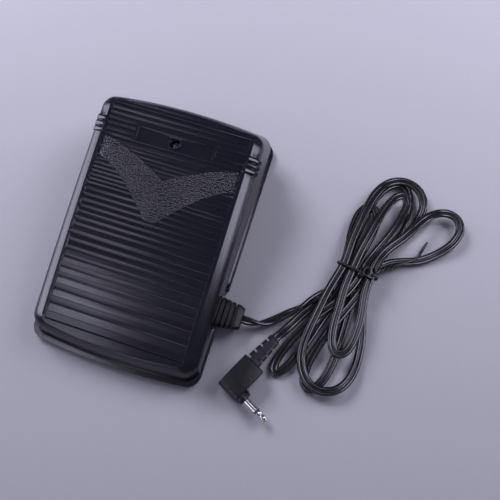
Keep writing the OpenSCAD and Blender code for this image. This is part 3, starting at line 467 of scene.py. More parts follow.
def softened_copy(node, name, material, body, crease):
    """A copy of a solid with its triangles joined, smooth over shallow angles and flat elsewhere."""
    shape = bmesh.new()
    shape.from_mesh(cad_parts[node].data)
    bmesh.ops.remove_doubles(shape, verts=shape.verts, dist=1e-6)
    bmesh.ops.dissolve_degenerate(shape, edges=shape.edges, dist=1e-7)
    piece = dress(mesh_object(name, shape), material, body, [node], crease)
    even = piece.modifiers.new("even_shading", "WEIGHTED_NORMAL")
    even.keep_sharp = True
    even.weight = 60
    return piece


def bevelled(shape, found, radius, steps, affect="EDGES"):
    bmesh.ops.bevel(
        shape, geom=found, offset=radius, segments=steps, affect=affect,
        profile=0.5, material=-1, clamp_overlap=True,
    )


def rounded_face(shape, width, height, radius, steps=5):
    """A rounded rectangle about the origin, in the XY plane."""
    bmesh.ops.create_grid(shape, x_segments=1, y_segments=1, size=0.5)
    bmesh.ops.scale(shape, vec=(width, height, 1), verts=shape.verts)
    bevelled(shape, shape.verts[:], radius, steps, "VERTICES")
    return shape.faces[:]


def loft(shape, sections, radius):
    """Carries a rounded rectangle through sections of [distance, width, height], along +Z."""
    start, wide, tall = sections[0]
    faces = rounded_face(shape, wide, tall, radius)
    bmesh.ops.translate(shape, vec=(0, 0, start), verts=shape.verts)
    for count, (place, width, height) in enumerate(sections[1:]):
        # The first face stays as the closed end
        made = bmesh.ops.extrude_face_region(shape, geom=faces, use_keep_orig=count == 0)
        points = [g for g in made["geom"] if isinstance(g, bmesh.types.BMVert)]
        faces = [g for g in made["geom"] if isinstance(g, bmesh.types.BMFace)]
        bmesh.ops.translate(shape, vec=(0, 0, place - start), verts=points)
        bmesh.ops.scale(shape, vec=(width / wide, height / tall, 1), verts=points)
        start, wide, tall = place, width, height


def turned(shape, profile, steps=64):
    """Spins a profile of [distance along, radius] round the X axis."""
    points = [shape.verts.new((x, r, 0)) for x, r in profile]
    edges = [shape.edges.new(pair) for pair in zip(points, points[1:])]
    bmesh.ops.spin(
        shape, geom=points + edges, cent=(0, 0, 0), axis=(1, 0, 0),
        angle=math.tau, steps=steps, use_merge=True,
    )
    bmesh.ops.remove_doubles(shape, verts=shape.verts, dist=1e-7)


def oval(half_width, half_height, sides):
    """An oval outline about the origin."""
    angles = [math.tau * i / sides for i in range(sides)]
    return [(half_width * math.cos(a), half_height * math.sin(a)) for a in angles]


def cut(piece, cutters):
    """Takes the cutters' shapes out of a piece for good."""
    for tool in cutters:
        step = piece.modifiers.new("cut", "BOOLEAN")
        step.object = tool
        step.operation = "DIFFERENCE"
        step.solver = "EXACT"
    graph = bpy.context.evaluated_depsgraph_get()
    data = bpy.data.meshes.new_from_object(piece.evaluated_get(graph))
    piece.modifiers.clear()
    old = piece.data
    piece.data = data
    bpy.data.meshes.remove(old)
    for tool in cutters:
        bpy.data.objects.remove(tool)


def box_between(low, high):
    shape = bmesh.new()
    bmesh.ops.create_cube(shape, size=1)
    bmesh.ops.scale(shape, vec=[b - a for a, b in zip(low, high)], verts=shape.verts)
    bmesh.ops.translate(shape, vec=[(a + b) / 2 for a, b in zip(low, high)], verts=shape.verts)
    return shape


def block(name, low, high, place):
    """A cutter box between two corners, put in its place."""
    shape = box_between(low, high)
    bmesh.ops.transform(shape, matrix=place, verts=shape.verts)
    return mesh_object(name, shape)


def ease(x):
    """Goes from 0 to 1 with x, level at both ends."""
    c = max(0.0, min(1.0, x))
    return c * c * (3 - 2 * c)


def resampled(points, step):
    """Points at even distances along a line."""
    runs = [0.0]
    for a, b in zip(points, points[1:]):
        runs.append(runs[-1] + (b - a).length)
    count = max(2, round(runs[-1] / step))
    even, k = [], 0
    for i in range(count + 1):
        want = runs[-1] * i / count
        while k < len(runs) - 2 and runs[k + 1] < want:
            k += 1
        share = (want - runs[k]) / max(runs[k + 1] - runs[k], 1e-9)
        even.append(points[k].lerp(points[k + 1], share))
    return even


def relaxed(points, rounds, held=2):
    """The line with its corners rounded off, apart from the held points at each end."""
    for _ in range(rounds):
        trios = zip(points[held - 1:], points[held:], points[held + 1:])
        inner = [(a + 2 * b + c) / 4 for a, b, c in trios]
        points = points[:held] + inner[: len(points) - 2 * held] + points[-held:]
    return points


def poly_curve(name, points, dimensions):
    """A curve object of straight runs."""
    curve = bpy.data.curves.new(name, "CURVE")
    curve.dimensions = dimensions
    line = curve.splines.new("POLY")
    line.points.add(len(points) - 1)
    for point, co in zip(line.points, points):
        point.co = (*co, 1)
    return add_object(name, curve)


def swept(name, points, tilts, outline):
    """A closed outline swept along points with its X axis level, turned by the tilts."""
    ring = poly_curve(name + "_outline", [(x, y, 0) for x, y in outline], "2D")
    ring.data.splines[0].use_cyclic_u = True
    path = poly_curve(name + "_line", points, "3D")
    path.data.twist_mode = "Z_UP"
    path.data.bevel_mode = "OBJECT"
    path.data.bevel_object = ring
    path.data.use_fill_caps = True
    for point, tilt in zip(path.data.splines[0].points, tilts):
        point.tilt = tilt
    graph = bpy.context.evaluated_depsgraph_get()
    data = bpy.data.meshes.new_from_object(path.evaluated_get(graph))
    bpy.data.objects.remove(path)
    bpy.data.objects.remove(ring)
    shape = bmesh.new()
    shape.from_mesh(data)
    bpy.data.meshes.remove(data)
    return shape


# ---- the cord's route, in millimetres and degrees; its loops lie close to the solids' ----

WAIST = (112.0, 14.0)
WAIST_HEADING = 80.0
# Where each strand crosses the waist: across it, height
CROSSINGS = [
    (-7.9, 4.3), (-2.65, 1.4), (2.65, 4.3), (-2.65, 7.2), (7.9, 7.2),
    (7.9, 1.4), (-7.9, 7.2), (2.65, 1.4), (7.9, 4.3), (-7.9, 1.4),
]
# One loop after the other, up and down in turn:
# reach, heading, half width, side, height going out, height at the fold, height coming back
LOBES = [
    (38, 84, 4.5, 1, 4.5, 4.3, 1.9),
    (71.5, -112.5, 5, 1, 1.6, 1.4, 4.1),
    (52, 74, 4, -1, 6.5, 5.8, 8),
    (46.5, -91, 3.5, -1, 7, 7.1, 7.5),
    (60, 51, 10, 1, 9.8, 4.3, 1.4),
    (67, -92, 11, 1, 1.5, 4.3, 6.7),
    (60.5, 71, 11.5, 1, 7.4, 4.3, 1.4),
    (69, -101, 7, 1, 1.7, 1.4, 4.1),
    (58.5, 78, 6, -1, 3.8, 1.4, 1.4),
]
# How far before the waist the leads run straight
TAIL = (17, 12, 8, 4)
BOOT_LEAD = [
    (60.5, -29.9, 5.6), (64, -29.9, 5.4), (67.4, -29.8, 4.4), (70.6, -29, 3.2),
    (74, -27.2, 2.6), (77.4, -24.4, 2.9), (80.8, -21.4, 3.8), (84, -18.4, 4.5),
    (87.2, -15.3, 4.5), (90.6, -11.4, 4.5), (94, -7.4, 4.5), (97.2, -3.6, 4.5),
]
PLUG_LEAD = [
    (80.4, -34, 4.7), (82, -31.6, 4.2), (83.6, -29.2, 3), (85.2, -26.6, 1.9),
    (86.8, -23.6, 1.5), (88.8, -19.8, 1.4), (91, -16, 1.4), (93.2, -13, 1.4),
    (95.6, -9.9, 1.4), (98.2, -7, 1.4), (100.8, -4.2, 1.4),
]
# Largest value of sin(phi) * t in a lobe, where it is widest
WIDEST = 0.65
# Shares of a lobe's reach: where it has left its height at the waist, and where it starts to take
# the height of its fold and how long that takes
LEAVING, FOLD_FROM, FOLD_OVER = 0.3, 0.55, 0.4


def waist_point(b, a, z):
    """A point b across the waist and a along it."""
    s, c = math.sin(math.radians(WAIST_HEADING)), math.cos(math.radians(WAIST_HEADING))
    return Vector((WAIST[0] + b * s + a * c, WAIST[1] - b * c + a * s, z))


def lobe_point(k, phi):
    """A point of lobe k, which goes out from the waist and back as phi goes from 0 to a full turn."""
    reach, heading, half, side, out, fold, back = LOBES[k]
    start = WAIST_HEADING - (k % 2) * 180
    t = (1 - math.cos(phi)) / 2
    h = math.radians(start + (heading - start) * ease(2 * t))
    a, b = reach * t, side * half / WIDEST * math.sin(phi) * t
    (b0, z0), (b1, z1) = CROSSINGS[k], CROSSINGS[k + 1]
    low, mid = (z0, out) if phi < math.pi else (z1, back)
    z = low + (mid - low) * ease(t / LEAVING) + (fold - mid) * ease((t - FOLD_FROM) / FOLD_OVER)
    at = waist_point(b0 + (b1 - b0) * ease(phi / math.tau), 0, z)
    return at + Vector((a * math.cos(h) - b * math.sin(h), a * math.sin(h) + b * math.cos(h), 0))


def cord_route(steps=36):
    """Points of the whole cord, boot lead, lobes and plug lead, in metres."""
    first, last = CROSSINGS[0], CROSSINGS[-1]
    route = [Vector(p) for p in BOOT_LEAD]
    route += [waist_point(first[0], -a, first[1]) for a in TAIL]
    for k in range(len(LOBES)):
        route += [lobe_point(k, math.tau * i / steps) for i in range(steps)]
    route.append(waist_point(last[0], 0, last[1]))
    route += [waist_point(last[0], -a, last[1]) for a in reversed(TAIL)]
    route += [Vector(p) for p in reversed(PLUG_LEAD)]
    return [p * MM for p in route]


# Half turns of the flat cord: [distance along it, length of the turn, turns], in millimetres
HALF_TURNS = [(-2, 22, 0.5), (20, 30, -0.5)]
CORD_STEP = 1.6 * MM
CORD_ROUNDS = 6
CORD_OFF_FLOOR = 0.05 * MM
# Steps round a core's outline from its outer side to the web
CORE_STEPS = 8


def cord_line(core, apart):
    """The cord's centre line with its turn at each point, lifted where it stands on edge."""
    points = relaxed(resampled(cord_route(), CORD_STEP), CORD_ROUNDS)
    run, tilts = 0.0, []
    for i, point in enumerate(points):
        run += (point - points[i - 1]).length / MM if i else 0.0
        tilts.append(sum(math.tau * share * ease((run - at) / length) for at, length, share in HALF_TURNS))
        point.z = max(point.z, core + apart * abs(math.sin(tilts[i])) + CORD_OFF_FLOOR)
    return points, tilts


class LayCord(bpy.types.Operator):
    """Lays the twin cord from the boot through the hank to the plug"""

    bl_idname = "pedal.lay_cord"
    bl_label = "Lay cord"

    def execute(self, context):
        sizes = context.scene.pedal_cord
        core = sizes.thickness / 2
        apart = sizes.width / 2 - core
        angles = [sizes.groove * (i / CORE_STEPS - 1) for i in range(2 * CORE_STEPS + 1)]
        right = [(apart + core * math.cos(a), core * math.sin(a)) for a in angles]
        outline = right + [(-x, -y) for x, y in right]
        points, tilts = cord_line(core, apart)
        shape = swept("twin_cord", points, tilts, outline)
        black = cable_black(context.scene.pedal_finish, "cord_jacket", 0.18)
        nodes = ["cord_lead", "cord_hank", "plug_lead"]
        add_piece("twin_cord", shape, black, "base", nodes, ROUND_CREASE)
        return {"FINISHED"}


# ---- twist tie, in millimetres ----

# Radius of the wire, and half width and heights of its turn round the waist
TIE_WIRE = 0.62
TIE_HALF = 11.4
TIE_BOTTOM = 0.9
TIE_TOP = 10.6
# The turn: power that squares it, where it starts, and its climb along the waist
TIE_SQUARE = 0.6
TIE_START = 35
TIE_CLIMB = 2.4
# The tail in plan, from the knot: [across the waist, along it]
TIE_TAIL = [
    (6.2, 0.4), (7.4, 3.1), (11, 6.6), (17, 11.8), (21.6, 17),
    (25.4, 20.6), (26.6, 22.6), (27.2, 27), (28, 34),
]
# Length that is twisted together, and of one twist
TIE_TWISTED = 19.0
TIE_PITCH = 5.5
TIE_STEP = 0.5
TIE_SWEEP_STEP = 0.45 * MM
# Centre of the knot across and along the waist, and its radius
TIE_KNOT = (4.6, 0.8, 1.9)
KNOT_TURN = 2.6 * math.pi
KNOT_LONGER = 1.3
KNOT_LIFT, KNOT_RISE = 0.9, 1.5
# Strands of the cord this near in plan hold the wire up
TIE_REACH = 2.9
# The wires' distance from their middle in wire radii, and how much more by the knot
TWIST_SPREAD, KNOT_SPREAD = 1.2, 1.3
# The oval wire's half width and height in wire radii, and its turn from point to point
TIE_OVAL = (1.15, 0.85)
TIE_ROLL = 0.12


def tie_ring(steps=64):
    """The tie's turn round the waist, a rounded rectangle that climbs along the waist."""
    ring = []
    for i in range(steps + 1):
        a = math.radians(TIE_START + 360 * i / steps)
        c, s = math.cos(a), math.sin(a)
        b = math.copysign(abs(c) ** TIE_SQUARE, c) * TIE_HALF
        up = 0.5 + 0.5 * math.copysign(abs(s) ** TIE_SQUARE, s)
        z = TIE_BOTTOM + (TIE_TOP - TIE_BOTTOM) * up
        ring.append(waist_point(b, TIE_CLIMB * i / steps - TIE_CLIMB / 2, z))
    return ring


def tie_knot(steps=30):
    """The turns that the wire's end makes over the ring before it joins the tail."""
    b, a, radius = TIE_KNOT
    knot = []
    for i in range(steps + 1):
        t = KNOT_TURN * i / steps
        z = TIE_TOP + KNOT_LIFT + KNOT_RISE * (i / steps)
        knot.append(waist_point(b + radius * math.cos(t), a + KNOT_LONGER * radius * math.sin(t), z))
    return knot


def resting(points, cord, core):
    """The points lifted to lie on whatever strand of the cord is under them."""
    floor = TIE_WIRE * 2
    rested = []
    for p in points:
        under = [c.z for c in cord if (c.xy - p.xy).length < TIE_REACH]
        rested.append(Vector((p.x, p.y, max([floor] + [z + core + floor for z in under]))))
    return relaxed(rested, 10)


class WrapTie(bpy.types.Operator):
    """Wraps the twist tie round the waist of the hank and twists its ends together"""

    bl_idname = "pedal.wrap_tie"
    bl_label = "Wrap tie"

    def execute(self, context):
        sizes = context.scene.pedal_cord
        core = sizes.thickness / 2
        cord = [p / MM for p in cord_line(core, sizes.width / 2 - core)[0]]
        flat = relaxed(resampled([waist_point(*p, 0) for p in TIE_TAIL], TIE_STEP), 6)
        line = resting(flat, cord, core / MM)
        twisted = round(TIE_TWISTED / TIE_STEP)

        def strand(side, count):
            """One wire of the tail. Side 1 ends with the twist, side 0 goes on alone."""
            made = []
            for i in range(count):
                ahead = (line[i + 1] - line[i]).normalized()
                left = ahead.cross(Vector((0, 0, 1))).normalized()
                turn = side * math.pi + math.tau * i * TIE_STEP / TIE_PITCH
                spread = TIE_WIRE * (TWIST_SPREAD + KNOT_SPREAD * (1 - ease((i - 2) / 9)))
                if side == 0:
                    spread *= 1 - ease((i - twisted + 6) / 8)
                lift = Vector((0, 0, spread * math.sin(turn)))
                made.append(line[i] + left * spread * math.cos(turn) + lift)
            return made

        route = [*reversed(strand(1, twisted)), *tie_ring()[2:-2], *tie_knot(), *strand(0, len(line) - 1)]
        points = relaxed(resampled([p * MM for p in route], TIE_SWEEP_STEP), 3)
        outline = oval(TIE_WIRE * TIE_OVAL[0] * MM, TIE_WIRE * TIE_OVAL[1] * MM, 12)
        shape = swept("twist_tie", points, [i * TIE_ROLL for i in range(len(points))], outline)
        black = cable_black(context.scene.pedal_finish, "tie_jacket", 0.3)
        add_piece("twist_tie", shape, black, "base", ["hank_tie"], ROUND_CREASE)
        return {"FINISHED"}


# ---- plug, in millimetres, with X along its pin and Y towards its relief ----

PLUG_AT = (66.4, -64.5, 4.7)
BODY_LOW = (-6.6, -4.4, -4.65)
BODY_HIGH = (6.6, 16.6, 4.65)
RELIEF_END = 33.7
RELIEF_MIDDLE = -1.2
RELIEF_LENGTH = RELIEF_END - BODY_HIGH[1]
RELIEF_SUNK = 0.2
# Sections of the relief: distance, width, height
RELIEF_SECTIONS = [
    (0, 8.6, 7.0), (0.4, 8.6, 7.0), (RELIEF_LENGTH - 0.9, 6.3, 5.0),
    (RELIEF_LENGTH - 0.3, 6.05, 4.75), (RELIEF_LENGTH, 5.4, 4.2),
]
# Half the relief's width at its root and how much less it is at its tip
RELIEF_HALF, RELIEF_TAPER = 4.3, 1.3
# The slots' start and width, and how far the right ones lag
SLOT_START, SLOT_WIDTH, RIGHT_LAG = 0.15, 1.05, 0.3
# Share of the half width that the slots leave, and how far their cutters reach out and up
LEFT_UNCUT, RIGHT_UNCUT = 0.5, 0.3
CUTTER_OUT, CUTTER_UP = 6, 5
# Distance along the pin's axis, radius
COLLAR = [(6.3, 0), (6.3, 4.1), (8.1, 4.1), (8.35, 3.75), (9.5, 3.65), (9.85, 3.45), (10, 3.1), (10, 0)]


def plug_place(sizes):
    """Takes points of the plug, in millimetres, to their place in metres."""
    heading = Matrix.Rotation(sizes.heading, 4, "Z")
    return Matrix.Translation(Vector(PLUG_AT) * MM) @ heading @ Matrix.Scale(MM, 4)


class MouldPlug(bpy.types.Operator):
    """Moulds the right-angle plug with its strain relief, collar and jack pin"""

    bl_idname = "pedal.mould_plug"
    bl_label = "Mould plug"

    def execute(self, context):
        sizes, colours = context.scene.pedal_plug, context.scene.pedal_finish
        place = plug_place(sizes)
        soft = soft_black("plug_moulding", colours, 0.38)
        self.body(place, soft)
        self.relief(place, soft, sizes.relief_slots)
        self.turn("plug_collar_moulding", COLLAR, place, soft, "plug_collar", "black_rubber")

        nickel = turned_nickel(colours, sizes.heading)
        r = sizes.pin_radius / MM
        sleeve = [(9.8, 0), (9.8, r), (17.05, r), (17.2, r - 0.12), (17.2, 0)]
        self.turn("plug_pin_sleeve", sleeve, place, nickel, "plug_sleeve", "nickel")
        ring = [(17.2, 0), (17.2, r - 0.1), (17.35, r - 0.02), (18.15, r - 0.02), (18.3, r - 0.1), (18.3, 0)]
        black = plain_moulding("ring_plastic", (0.02, 0.02, 0.022), 0.4, (0.03, 0.03, 0.03), 1.0)
        self.turn("plug_pin_ring", ring, place, black, "plug_insulator", "black_plastic")
        tip = [
            (18.3, 0), (18.3, r - 0.12), (18.42, r), (19.15, r), (19.5, r - 0.1), (20.3, 1.3),
            (20.75, 1.22), (21.2, 1.3), (22.1, r - 0.06), (22.4, r), (22.75, r - 0.08), (23.4, 1.25),
            (24.4, 0.62), (24.8, 0.42), (24.97, 0.2), (25, 0),
        ]
        self.turn("plug_pin_tip", tip, place, nickel, "plug_tip", "nickel")
        return {"FINISHED"}

    def turn(self, name, profile, place, material, node, slot):
        shape = bmesh.new()
        turned(shape, profile)
        bmesh.ops.transform(shape, matrix=place, verts=shape.verts)
        add_piece(name, shape, material, "base", [node])

    def body(self, place, soft):
        shape = box_between(BODY_LOW, BODY_HIGH)
        # The two level edges at the end away from the relief
        heel = [e for e in shape.edges if all(v.co.y < BODY_LOW[1] + 0.01 for v in e.verts)]
        level = [e for e in heel if abs(e.verts[0].co.x - e.verts[1].co.x) > 1]
        bevelled(shape, level, radius=4.2, steps=9)
        bmesh.ops.recalc_face_normals(shape, faces=shape.faces)
        sharp = [e for e in shape.edges if e.is_manifold and e.calc_face_angle(0) > math.radians(40)]
        bevelled(shape, sharp, radius=0.75, steps=4)
        bmesh.ops.transform(shape, matrix=place, verts=shape.verts)
        add_piece("plug_body_moulding", shape, soft, "base", ["plug_body"], 35.0)

    def relief(self, place, soft, slots):
        shape = bmesh.new()
        loft(shape, RELIEF_SECTIONS, radius=1.5)
        stand = Matrix.Translation((RELIEF_MIDDLE, BODY_HIGH[1] - RELIEF_SUNK, 0))
        stand = stand @ Matrix.Rotation(-math.pi / 2, 4, "X")
        bmesh.ops.transform(shape, matrix=place @ stand, verts=shape.verts)
        piece = add_piece("plug_relief_moulding", shape, soft, "base", ["plug_relief"], 35.0)
        pitch = RELIEF_LENGTH / slots
        cutters = []
        for k in range(slots):
            y = BODY_HIGH[1] + k * pitch + SLOT_START
            half = RELIEF_HALF - RELIEF_TAPER * (k * pitch) / RELIEF_LENGTH
            low = (RELIEF_MIDDLE - CUTTER_OUT, y, -CUTTER_UP)
            high = (RELIEF_MIDDLE - half * LEFT_UNCUT, y + SLOT_WIDTH, CUTTER_UP)
            cutters.append(block("slot_left", low, high, place))
            if k < slots - 1:
                y += pitch / 2 + RIGHT_LAG
                low = (RELIEF_MIDDLE + half * RIGHT_UNCUT, y, -CUTTER_UP)
                high = (RELIEF_MIDDLE + CUTTER_OUT, y + SLOT_WIDTH, CUTTER_UP)
                cutters.append(block("slot_right", low, high, place))
        cut(piece, cutters)
        shade(piece.data, 35.0)


# ---- boot, in millimetres ----

BOOT_Y, BOOT_Z = -29.9, 5.6
BOOT_END = 60.5
BOOT_RINGS = [(47.5, 49.6), (50.3, 52.3), (53.1, 55.0), (55.9, BOOT_END)]
# Width and height at the first ring and at the end
BOOT_ROOT, BOOT_TIP = (16.6, 9.2), (13.2, 7.6)
# The plate inside the base and the neck through its wall: distance, width, height
BOOT_HELD = [(38.7, 15.4, 4.8), (40.75, 15.4, 4.8), (40.85, 13.0, 4.3), (43.4, 13.0, 4.3)]
# The collar outside the wall: place, and how much less it measures
COLLAR_AT = 45
BOOT_COLLAR = [(43.45, 0.3), (43.6, 0.0), (46.5, 0.0), (46.65, 0.3)]
# Softened edge of a ring and its length
RING_LESS, RING_EDGE = 0.3, 0.15
# Share of the boot's size in the grooves, and where they run before each ring
GROOVE_SHARE, GROOVE_FROM, GROOVE_TO = 0.76, 0.7, 0.1
# The last ring's flat stretch, and its corner: distance before the end, how much less it measures
LAST_FLAT = 1.7
LAST_CORNER = [(0.3, 1.2), (0.0, 1.9)]


class MouldBoot(bpy.types.Operator):
    """Moulds the ringed boot that guards the cord where it leaves the base"""

    bl_idname = "pedal.mould_boot"
    bl_label = "Mould boot"

    def execute(self, context):
        def size(x, share=1.0, less=0.0):
            """Width and height of the tapering boot at x."""
            t = (x - BOOT_RINGS[0][0]) / (BOOT_END - BOOT_RINGS[0][0])
            return [(a + (b - a) * t) * share - less for a, b in zip(BOOT_ROOT, BOOT_TIP)]

        rows = BOOT_HELD + [(x, *size(COLLAR_AT, 1, less)) for x, less in BOOT_COLLAR]
        for start, end in BOOT_RINGS:
            groove = size(start, GROOVE_SHARE)
            rows += [(start - GROOVE_FROM, *groove), (start - GROOVE_TO, *groove)]
            rows += [(start, *size(start, 1, RING_LESS)), (start + RING_EDGE, *size(start))]
            if end < BOOT_END:
                rows += [(end - RING_EDGE, *size(end)), (end, *size(end, 1, RING_LESS))]
            else:
                rows += [(start + LAST_FLAT, *size(start))]
                rows += [(end - before, *size(end, 1, less)) for before, less in LAST_CORNER]
        shape = bmesh.new()
        loft(shape, rows, radius=2.0)
        stand = Matrix.Translation((0, BOOT_Y * MM, BOOT_Z * MM)) @ Matrix.Rotation(math.pi / 2, 4, "Y")
        stand = stand @ Matrix.Rotation(math.pi / 2, 4, "Z") @ Matrix.Scale(MM, 4)
        bmesh.ops.transform(shape, matrix=stand, verts=shape.verts)
        black = soft_black("boot_rubber", context.scene.pedal_finish, 0.42)
        add_piece("cord_boot_moulding", shape, black, "base", ["cord_boot"], 28.0)
        return {"FINISHED"}


# ---- shell and works ----

SHELL_CREASE = 17.0


class FinishTreadle(bpy.types.Operator):
    """Finishes the ribbed treadle and its screw"""

    bl_idname = "pedal.finish_treadle"
    bl_label = "Finish treadle"

    def execute(self, context):
        colours = context.scene.pedal_finish
        black = treadle_black(colours)
        softened_copy("treadle_cover", "treadle_moulding", black, "treadle", SHELL_CREASE)
        steel = plated_steel("blackened_steel", (0.24, 0.24, 0.26), 0.3, (0.12, 0.12, 0.12))
        softened_copy("centre_screw", "blackened_screw", steel, "treadle", 30.0)
        return {"FINISHED"}


class FinishBase(bpy.types.Operator):
    """Finishes the base tray with its rim"""

    bl_idname = "pedal.finish_base"
    bl_label = "Finish base"

    def execute(self, context):
        black = shell_black(context.scene.pedal_finish)
        softened_copy("base_tray", "base_moulding", black, "base", SHELL_CREASE)
        return {"FINISHED"}


# Coloured works: node, name of the finish, colour, roughness, second colour, size of the blotches
COLOURED_WORKS = (
    ("circuit_board", "board_mask", (0.02, 0.11, 0.045), 0.32, (0.03, 0.14, 0.06), 3.0),
    ("ballast_resistor", "resistor_ceramic", (0.6, 0.57, 0.48), 0.7, (0.5, 0.47, 0.4), 1.2),
    ("capacitors", "capacitor_sleeve", (0.02, 0.03, 0.12), 0.3, (0.03, 0.04, 0.15), 2.0),
    ("terminal_block", "terminal_green", (0.03, 0.2, 0.08), 0.42, (0.04, 0.24, 0.1), 2.5),
    ("cord_clamp", "clamp_nylon", (0.62, 0.6, 0.55), 0.5, (0.55, 0.53, 0.47), 2.0),
    ("drive_fork", "fork_nylon", (0.66, 0.65, 0.6), 0.48, (0.58, 0.57, 0.52), 2.2),
    ("potentiometer_slider", "slider_nylon", (0.55, 0.54, 0.5), 0.5, (0.48, 0.47, 0.43), 1.5),
)


def works_finishes(colours):
    """The finish of each solid that is shown as it is."""
    zinc = plated_steel("zinc_plate")
    finishes = {node: zinc for node in ("hinge_pins", "board_screws", "clamp_screws", "fork_screws")}
    finishes["rubber_feet"] = soft_black("foot_rubber", colours, 0.62)
    finishes["stop_hook"] = plated_steel("pressed_zinc", (0.5, 0.5, 0.48), 0.38)
    finishes["slide_potentiometer"] = plated_steel("pot_case", (0.46, 0.47, 0.48), 0.4)
    finishes["internal_leads"] = cable_black(colours, "inner_lead_jacket", 0.34)
    for node, *looks in COLOURED_WORKS:
        finishes[node] = plain_moulding(*looks)
    return finishes


# Springs, in millimetres: place of the right one, heights of its ends, radius of coil and wire
SPRING_AT = (24.0, 14.0)
SPRING_SEAT = 5.0
SPRING_TOP = SPRING_SEAT + 20.0
SPRING_RADIUS, SPRING_WIRE = 4.6, 0.6
SPRING_TURNS = 7
SPRING_STEPS, SPRING_SIDES = 24, 10
# Rise of a closed end turn, in wire radii
CLOSED_RISE = 2.1


class WindSprings(bpy.types.Operator):
    """Winds the two return springs as they stand at rest; nothing here carries their heads down with the
    treadle
    """

    bl_idname = "pedal.wind_springs"
    bl_label = "Wind springs"

    def execute(self, context):
        wire = plated_steel("spring_wire", (0.42, 0.42, 0.42), 0.28)
        outline = oval(SPRING_WIRE * MM, SPRING_WIRE * MM, SPRING_SIDES)
        closed = CLOSED_RISE * SPRING_WIRE
        open_rise = (SPRING_TOP - SPRING_SEAT - 2 * SPRING_WIRE - 2 * closed) / (SPRING_TURNS - 2)
        for side, name in ((-1, "return_spring_left"), (1, "return_spring_right")):
            points = []
            for i in range(SPRING_TURNS * SPRING_STEPS + 1):
                t = i / SPRING_STEPS
                rise = min(t, 1) * closed + max(0, min(t - 1, SPRING_TURNS - 2)) * open_rise
                rise += max(0, t - SPRING_TURNS + 1) * closed
                points.append(MM * Vector((
                    side * SPRING_AT[0] + SPRING_RADIUS * math.cos(math.tau * t),
                    SPRING_AT[1] + SPRING_RADIUS * math.sin(math.tau * t),
                    SPRING_SEAT + SPRING_WIRE + rise,
                )))
            shape = swept(name, points, [0.0] * len(points), outline)
            piece = add_piece(name, shape, wire, None, ["return_springs"], 60.0)
            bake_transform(piece)
        return {"FINISHED"}


class FinishWorks(bpy.types.Operator):
    """Finishes the feet, pins, screws and control works"""

    bl_idname = "pedal.finish_works"
    bl_label = "Finish works"

    def execute(self, context):
        for node, material in works_finishes(context.scene.pedal_finish).items():
            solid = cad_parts[node]
            if not solid.material_slots:
                raise RuntimeError(f"{node} has no material slot")
            for slot in solid.material_slots:
                slot.material = material
        return {"FINISHED"}


# ---- stage ----

# The camera's place in millimetres, and the right, down and inward directions of its view
CAMERA_AT = (82.612, -47.647, 275.731)
CAMERA_RIGHT = (0.9508078, 0.306902, -0.042138)
CAMERA_DOWN = (0.2904681, -0.9305213, -0.2230658)
CAMERA_AHEAD = (-0.1076697, 0.1998529, -0.9738922)
# Colours of the boxes that only light surfaces, and of those that are only seen in reflections
DIFFUSE_COLOUR = (0.97, 0.96, 1)
MIRRORED_COLOUR = (0.80, 0.79, 1)
ON_PEDAL = (0.03, 0.0, 0.0)
ON_TREADS = (-0.023, -0.05, 0.018)
# Soft boxes: name, place, target, width and height in metres, power in watts
DIFFUSE_BOXES = (
    ("key_box", (-0.43, 0.40, 0.45), ON_PEDAL, (0.36, 0.28), 5.3),
    ("toe_box", (0.35, 0.40, 0.34), ON_PEDAL, (0.34, 0.28), 2.5),
    ("left_fill", (-0.80, -0.06, 0.30), ON_PEDAL, (0.7, 0.3), 1.6),
)
MIRRORED_BOXES = (
    ("left_box", (-0.80, -0.06, 0.30), (0.02, 0, 0.02), (0.7, 0.3), 3.9),
    ("plank_box_low", (-0.16, -0.235, 0.29), ON_TREADS, (0.1, 0.1), 0.07),
    ("plank_box_high", (-0.90, -0.46, 1.97), ON_TREADS, (0.58, 0.3), 3.1),
    ("bevel_box", (0.52, 0.06, 0.78), (0.04, 0.0, 0.02), (0.42, 0.3), 2.7),
    ("cord_box", (0.31, 0.12, 0.95), (0.09, 0, 0), (0.4, 0.1), 0.52),
    ("skirt_box", (0.95, 0.30, 0.09), (0.05, 0.02, 0.01), (0.5, 0.1), 2.0),
    ("plug_strip", (-0.02, -0.235, 0.085), (0.07, -0.075, 0.004), (0.07, 0.04), 0.035),
    ("plug_box", (-0.25, -0.75, 0.42), (0.07, -0.07, 0), (0.3, 0.2), 0.25),
)


def soft_box(name, at, target, size, power, mirrored):
    """An area lamp that is either only seen in reflections or only lights surfaces."""
    light = bpy.data.lights.new(name, "AREA")
    light.shape = "RECTANGLE"
    light.size, light.size_y = size
    light.energy = power
    light.color = MIRRORED_COLOUR if mirrored else DIFFUSE_COLOUR
    made = add_object(name, light)
    away = (Vector(at) - Vector(target)).normalized()
    made.matrix_world = Matrix.Translation(at) @ away.to_track_quat("Z", "Y").to_matrix().to_4x4()
    made.visible_camera = False
    made.visible_glossy = mirrored
    made.visible_diffuse = not mirrored


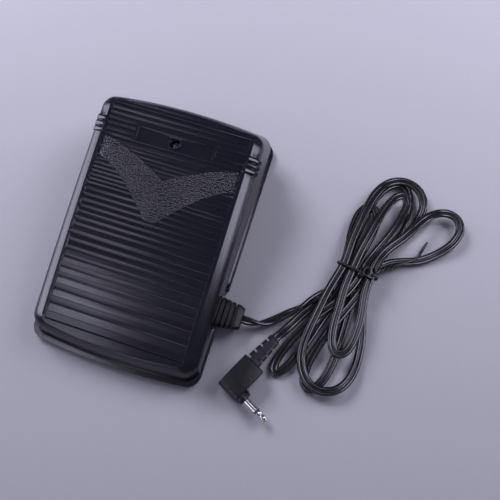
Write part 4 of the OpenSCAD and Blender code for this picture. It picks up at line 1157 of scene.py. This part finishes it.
class SetStage(bpy.types.Operator):
    """Sets the camera, the pale floor and the soft boxes"""

    bl_idname = "pedal.set_stage"
    bl_label = "Set stage"

    def execute(self, context):
        stage = context.scene.pedal_stage
        camera = bpy.data.cameras.new("camera")
        camera.lens = stage.lens
        camera.sensor_width = 36
        camera.clip_start = 0.01
        made = add_object("camera", camera)
        turn = Matrix((CAMERA_RIGHT, [-c for c in CAMERA_DOWN], [-c for c in CAMERA_AHEAD])).transposed()
        made.matrix_world = Matrix.Translation(Vector(CAMERA_AT) * MM) @ turn.to_4x4()
        context.scene.camera = made

        shape = bmesh.new()
        bmesh.ops.create_grid(shape, x_segments=8, y_segments=8, size=3.0)
        floor = mesh_object("floor", shape)
        floor.data.materials.append(floor_finish(tuple(stage.floor)))

        world = bpy.data.worlds.new("surround")
        context.scene.world = world
        world.use_nodes = True
        sky = world.node_tree.nodes["Background"]
        sky.inputs["Color"].default_value = (0.82, 0.81, 1, 1)
        sky.inputs["Strength"].default_value = 0.15 * stage.light

        for boxes, mirrored in ((DIFFUSE_BOXES, False), (MIRRORED_BOXES, True)):
            for name, at, target, size, power in boxes:
                soft_box(name, at, target, size, power * stage.light, mirrored)
        context.scene.view_settings.view_transform = "Standard"
        return {"FINISHED"}


class PedalPanel(bpy.types.Panel):
    bl_idname = "VIEW3D_PT_foot_pedal"
    bl_label = "Foot Pedal"
    bl_space_type = "VIEW_3D"
    bl_region_type = "UI"
    bl_category = "Foot Pedal"

    def draw(self, context):
        for step in STEPS:
            self.layout.operator(step.bl_idname)
        for name in GROUPS:
            group = getattr(context.scene, name)
            box = self.layout.box()
            for item in group.__annotations__:
                box.prop(group, item)


STEPS = (
    SetStage, LayCord, WrapTie, MouldPlug, MouldBoot, FinishTreadle, FinishBase, WindSprings, FinishWorks,
)
GROUPS = {
    "pedal_cord": TwinCordSizes,
    "pedal_plug": PlugSizes,
    "pedal_finish": FinishColours,
    "pedal_stage": StageSettings,
}


def register():
    for item in (*GROUPS.values(), *STEPS, PedalPanel):
        bpy.utils.register_class(item)
    for name, group in GROUPS.items():
        setattr(bpy.types.Scene, name, PointerProperty(type=group))


def unregister():
    for name in GROUPS:
        delattr(bpy.types.Scene, name)
    for item in (PedalPanel, *reversed(STEPS), *reversed(list(GROUPS.values()))):
        bpy.utils.unregister_class(item)


def declare_cord():
    """Works out the cord's route and size, after all the pieces that go with it are made; the route is not
    used.
    """
    sizes = bpy.context.scene.pedal_cord
    core = sizes.thickness / 2
    route, _ = cord_line(core, sizes.width / 2 - core)


def main():
    register()
    bpy.ops.pedal.set_stage()
    bpy.ops.pedal.lay_cord()
    bpy.ops.pedal.wrap_tie()
    bpy.ops.pedal.mould_plug()
    bpy.ops.pedal.mould_boot()
    bpy.ops.pedal.finish_treadle()
    bpy.ops.pedal.finish_base()
    bpy.ops.pedal.wind_springs()
    bpy.ops.pedal.finish_works()
    declare_cord()


if __name__ == "__main__":
    main()
